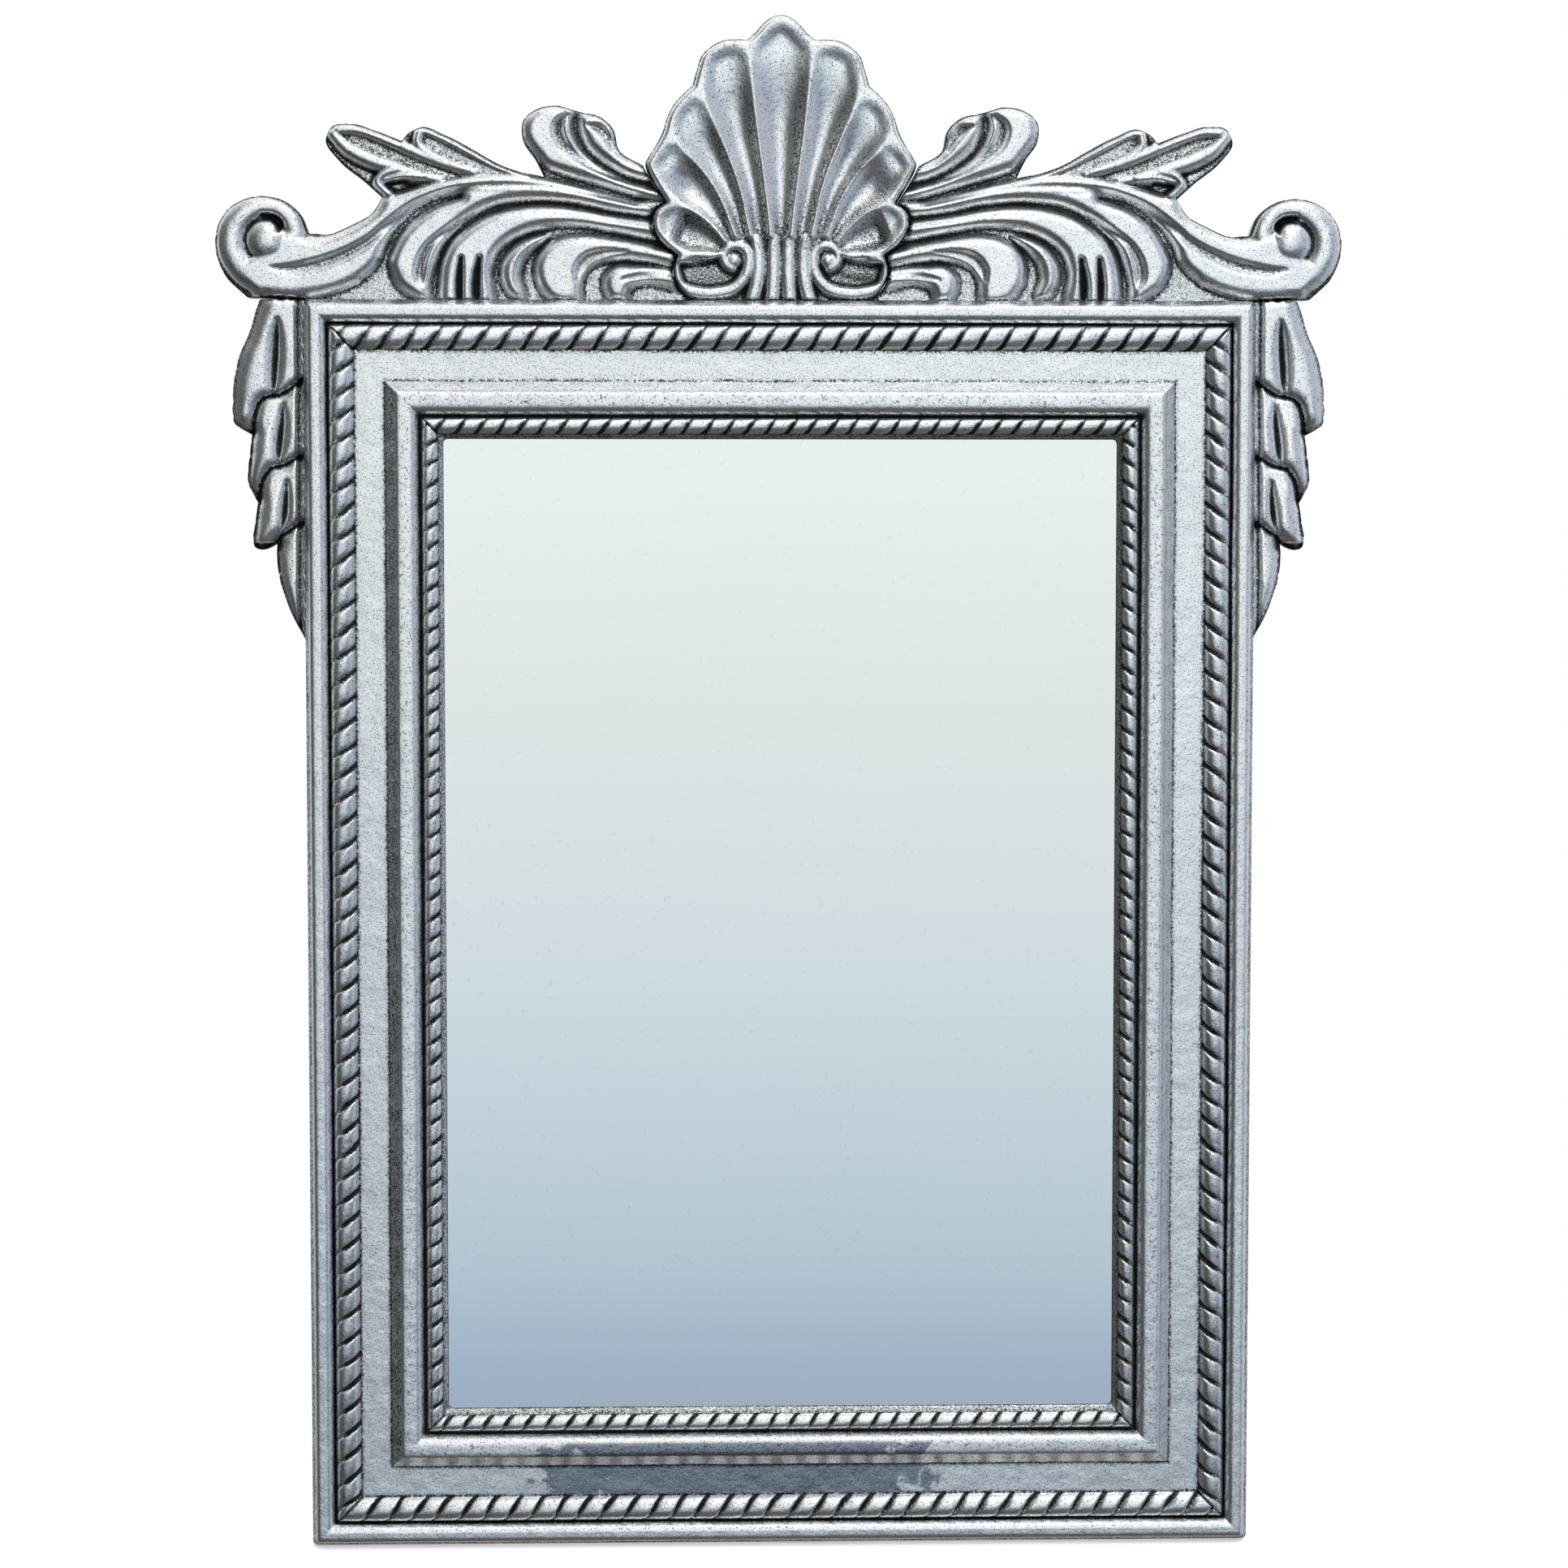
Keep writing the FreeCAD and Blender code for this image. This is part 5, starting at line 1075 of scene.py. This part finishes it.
def ramp(value, *stops):
    made = value.tree.nodes.new("ShaderNodeValToRGB")
    elements = made.color_ramp.elements
    while len(elements) < len(stops):
        elements.new(0.5)
    for element, (place, colour) in zip(elements, stops):
        element.position = place
        element.color = (*colour, 1.0)
    set_inputs(made, {"Fac": value})
    return Value(value.tree, made.outputs["Color"])


def mixed(blend, share, first, second):
    """Two colours mixed. The node's colours are its inputs 6 and 7 and its output 2."""
    inputs = {"Factor": share, 6: first, 7: second}
    return made_by(first.tree, "ShaderNodeMix", 2, inputs, data_type="RGBA", blend_type=blend)


def noise(place, scale, detail=2.0, roughness=0.5):
    inputs = {"Vector": place, "Scale": scale, "Detail": detail, "Roughness": roughness}
    return made_by(place.tree, "ShaderNodeTexNoise", "Fac", inputs)


def eased(value, start, end):
    """0 before the start and 1 after the end, with a smooth rise between."""
    inputs = {"Value": value, "From Min": start, "From Max": end}
    return made_by(value.tree, "ShaderNodeMapRange", "Result", inputs, interpolation_type="SMOOTHSTEP")


def between(value, start, full, end, still_full):
    """1 between two places, with a smooth rise and fall at its ends."""
    return eased(value, start, full) * eased(value, end, still_full)


def bumped(*layers):
    """A surface's normal after layers of (height, strength, distance in metres)."""
    below = {}
    for height, strength, distance in layers:
        inputs = {"Height": height, "Strength": strength, "Distance": distance, **below}
        below = {"Normal": made_by(height.tree, "ShaderNodeBump", "Normal", inputs)}
    return below["Normal"]


# Ends of the painted dark reflection on the bottom moulding: across, and up and down on flat and roll, in
# metres.
REFLECTION_PATCH_ACROSS = (-0.104, -0.096, 0.066, 0.054)
REFLECTION_PATCH_ON_FLAT = (-0.2555, -0.2535, -0.2405, -0.2425)
REFLECTION_PATCH_ON_ROLL = (-0.2375, -0.2355, -0.2295, -0.2310)
REFLECTION_PATCH_FRONT = (-0.014, -0.016)
PAINTED_REFLECTION_TINT = (0.36, 0.38, 0.42, 1.0)


def glossy_painted_reflection(place, blotch):
    """Where the bottom moulding's middle gets a painted dark reflection and less roughness, with ragged
    ends.
    """
    x, y, z = axes_of(place)
    span = between(x + (blotch - 0.5) * 0.16, *REFLECTION_PATCH_ACROSS)
    height = between(z, *REFLECTION_PATCH_ON_FLAT).larger(between(z, *REFLECTION_PATCH_ON_ROLL))
    return span * eased(y, *REFLECTION_PATCH_FRONT) * height


def pewter_material():
    """Polished cast metal with black patina in its hollows, painted shade on some flanks and rims, and dark
    pits from the sand.
    """
    material, tree, shader = new_material("pewter")
    place = place_in(tree)
    # The attribute holds the patina and, in places, painted shade.
    patina_and_painted_shade = made_by(tree, "ShaderNodeAttribute", "Fac", {}, attribute_name="patina_and_painted_shade")
    grain = noise(place, 1250.0, 3.0, 0.7)
    blotch = noise(place, 90.0, 4.0, 0.6)
    cloud = noise(place, 14.0, 3.0, 0.5)
    uneven = (grain - 0.5) * 3.2 + (blotch - 0.5) * 0.6
    weight = patina_and_painted_shade * (1.15 - patina_and_painted_shade) * 3.2 + 0.06
    pits = noise(place, 1500.0, 1.0, 0.4).above(0.63)
    tone = (patina_and_painted_shade + uneven * weight).larger(pits * 0.46)
    colour = ramp(tone, (0.0, (0.97, 0.975, 0.985)), (0.20, (0.84, 0.85, 0.87)), (0.40, (0.40, 0.41, 0.41)),
                  (0.60, (0.13, 0.135, 0.13)), (1.0, (0.030, 0.034, 0.031)))
    # Painted dark reflection on the bottom moulding's middle, which is also made glossier.
    reflection_patch = glossy_painted_reflection(place, blotch)
    set_inputs(shader, {
        "Base Color": mixed("MULTIPLY", reflection_patch, colour, PAINTED_REFLECTION_TINT),
        "Metallic": 1.0,
        "Roughness": (tone * 0.30 + cloud * 0.14) + (0.21 - reflection_patch * 0.13),
        "Normal": bumped((grain, 0.35, 0.00018), (blotch, 0.5, 0.0009))})
    return material


def mirror_material():
    """Silvered glass with a few dust specks."""
    material, tree, shader = new_material("mirror_glass")
    place = place_in(tree)
    haze = noise(place, 9.0, 3.0, 0.5)
    dust = noise(place, 420.0, 0.0, 0.5).above(0.80)
    set_inputs(shader, {
        "Base Color": ramp(haze, (0.0, (0.842, 0.859, 0.859)), (1.0, (0.864, 0.877, 0.875))),
        "Metallic": 1.0, "Roughness": dust * 0.2 + 0.015})
    return material


def grained_material(name, scale, detail, roughness, strength, distance, *colours):
    """A material that one noise, stretched along the axes, both colours and bumps."""
    material, tree, shader = new_material(name)
    stretched = made_by(tree, "ShaderNodeMapping", "Vector", {"Vector": place_in(tree), "Scale": scale})
    grain = noise(stretched, 1.0, detail, roughness)
    set_inputs(shader, {"Base Color": ramp(grain, *colours), "Normal": bumped((grain, strength, distance))})
    return material, shader, grain


def board_material():
    """Brown hardboard with long faint fibres."""
    material, shader, _ = grained_material(
        "backing_board", (60.0, 60.0, 900.0), 5.0, 0.7, 0.4, 0.0003,
        (0.25, (0.16, 0.085, 0.042)), (0.55, (0.30, 0.175, 0.095)), (0.8, (0.40, 0.26, 0.16)))
    set_inputs(shader, {"Roughness": 0.82})
    return material


def steel_material():
    """Zinc-plated steel with fine scratches."""
    material, shader, scratches = grained_material(
        "plated_steel", (300.0, 300.0, 5200.0), 4.0, 0.6, 0.2, 0.0001,
        (0.3, (0.50, 0.50, 0.48)), (0.7, (0.68, 0.68, 0.67)))
    set_inputs(shader, {"Metallic": 1.0, "Roughness": scratches * 0.25 + 0.22})
    return material


def felt_material():
    """Black felt with a soft nap."""
    material, shader, _ = grained_material(
        "felt", (2400.0, 2400.0, 2400.0), 4.0, 0.75, 0.6, 0.0004,
        (0.3, (0.018, 0.018, 0.018)), (0.7, (0.065, 0.065, 0.065)))
    set_inputs(shader, {"Roughness": 0.95, "Sheen Weight": 0.6})
    return material


def dress_nodes():
    """Better materials for the CAD nodes that stay."""
    steel = steel_material()
    others = {"mirror_glass": mirror_material(), "backing_board": board_material(),
              "wall_pads": felt_material()}
    for name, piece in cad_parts.items():
        piece.data.materials.clear()
        piece.data.materials.append(others.get(name, steel))


# Stage. The floor's sizes are in metres.
FLOOR_GAP = 0.0005
FLOOR_REACH = 1.2
FLOOR_FRONT = -0.20
FLOOR_BACK = 0.45


def build_floor():
    mesh = bpy.data.meshes.new("floor")
    z = cad_box[0][2] - FLOOR_GAP
    corners = [(x, y, z) for x, y in ((-FLOOR_REACH, FLOOR_FRONT), (FLOOR_REACH, FLOOR_FRONT),
                                      (FLOOR_REACH, FLOOR_BACK), (-FLOOR_REACH, FLOOR_BACK))]
    mesh.from_pydata(corners, [], [(0, 1, 2, 3)])
    material, tree, shader = new_material("pale_floor")
    colour = ramp(noise(place_in(tree), 3.0), (0.3, (0.97, 0.97, 0.97)), (0.7, (0.99, 0.99, 0.99)))
    set_inputs(shader, {"Base Color": colour, "Roughness": 0.9, "Emission Color": (1.0, 1.0, 1.0, 1.0),
                        "Emission Strength": 0.45})
    mesh.materials.append(material)
    floor = placed("floor", mesh)
    floor.visible_glossy = False


def build_world():
    """White for the camera; reflections see a bright room ahead and darker sides, the left one darkest."""
    world = bpy.data.worlds.new("studio")
    bpy.context.scene.world = world
    world.use_nodes = True
    tree = world.node_tree
    tree.nodes.clear()
    x, y, z = axes_of(made_by(tree, "ShaderNodeTexCoord", "Generated", {}))
    sideways, upward, backward = (part * 0.5 + 0.5 for part in (x, z, y))
    ahead = ramp(
        upward, (0.000, (0.12, 0.10, 0.08)), (0.220, (0.09, 0.08, 0.07)), (0.320, (0.13, 0.15, 0.18)),
        (0.355, (0.30, 0.35, 0.43)), (0.385, (0.37, 0.46, 0.57)), (0.401, (0.48, 0.59, 0.67)),
        (0.424, (0.58, 0.68, 0.735)), (0.453, (0.70, 0.77, 0.79)), (0.483, (0.775, 0.82, 0.805)),
        (0.515, (0.855, 0.905, 0.89)), (0.600, (0.97, 1.0, 1.0)), (0.700, (1.0, 1.0, 1.0)))
    tint = ramp(
        sideways, (0.05, (0.09, 0.094, 0.09)), (0.20, (0.075, 0.08, 0.075)), (0.31, (0.32, 0.33, 0.33)),
        (0.42, (1.0, 1.0, 1.02)), (0.60, (1.0, 1.0, 1.0)), (0.68, (0.74, 0.79, 0.85)),
        (0.78, (0.42, 0.47, 0.54)), (0.94, (0.38, 0.42, 0.49)))
    sides = ramp(
        sideways, (0.00, (0.085, 0.09, 0.085)), (0.30, (0.09, 0.09, 0.088)), (0.50, (0.20, 0.21, 0.22)),
        (0.75, (0.34, 0.38, 0.44)), (1.00, (0.45, 0.49, 0.57)))
    poles = ramp(
        upward, (0.10, (0.07, 0.06, 0.05)), (0.40, (0.12, 0.12, 0.12)), (0.62, (0.36, 0.38, 0.40)),
        (0.88, (0.95, 0.96, 0.97)))
    behind = ramp(
        upward, (0.20, (0.30, 0.29, 0.28)), (0.50, (0.62, 0.63, 0.65)), (0.80, (0.95, 0.96, 0.97)))
    steep = z.combined("POWER", z, 2.0)
    front = mixed("MULTIPLY", 1.0, ahead, tint)
    around = mixed("MIX", eased(backward, 0.11, 0.37), front, mixed("MIX", steep, sides, poles))
    room = mixed("MIX", eased(backward, 0.56, 0.80), around, behind)
    reflected = made_by(tree, "ShaderNodeBackground", "Background", {"Color": room, "Strength": 1.1})
    white = made_by(tree, "ShaderNodeBackground", "Background",
                    {"Color": (1.0, 1.0, 1.0, 1.0), "Strength": 1.0})
    to_camera = made_by(tree, "ShaderNodeLightPath", "Is Camera Ray", {})
    shown = made_by(tree, "ShaderNodeMixShader", "Shader", {"Fac": to_camera, 1: reflected, 2: white})
    set_inputs(tree.nodes.new("ShaderNodeOutputWorld"), {"Surface": shown})


def add_light(name, place, target, size, power):
    light = bpy.data.lights.new(name, "AREA")
    light.shape = "RECTANGLE"
    light.size, light.size_y = size
    light.energy = power
    lamp = placed(name, light)
    lamp.location = place
    lamp.rotation_euler = (Vector(target) - Vector(place)).to_track_quat("-Z", "Y").to_euler()


def build_lights():
    add_light("key_light", (0.5, -1.3, 1.9), (0.0, 0.0, 0.05), (1.2, 0.6), 6.0)


# The camera's place in metres and its pitch and yaw in degrees.
CAMERA_PLACE = (-0.0373, -1.4993, 0.1503)
CAMERA_PITCH = -3.33
CAMERA_YAW = 1.49
CAMERA_LENS = 76.84


def build_camera():
    camera = bpy.data.cameras.new("camera")
    camera.sensor_width = 36.0
    camera.sensor_fit = "HORIZONTAL"
    camera.lens = CAMERA_LENS
    holder = placed("camera", camera)
    holder.location = CAMERA_PLACE
    holder.rotation_euler = (math.radians(90 + CAMERA_PITCH), 0, -math.radians(CAMERA_YAW))
    bpy.context.scene.camera = holder
    bpy.context.scene.view_settings.view_transform = "Standard"


def build_scene():
    pewter = pewter_material()
    dress_nodes()
    build_frame(pewter)
    build_ropes(pewter)
    build_shell(pewter)
    build_wings(pewter)
    build_leaves(pewter)
    build_floor()
    build_world()
    build_lights()
    build_camera()


build_scene()
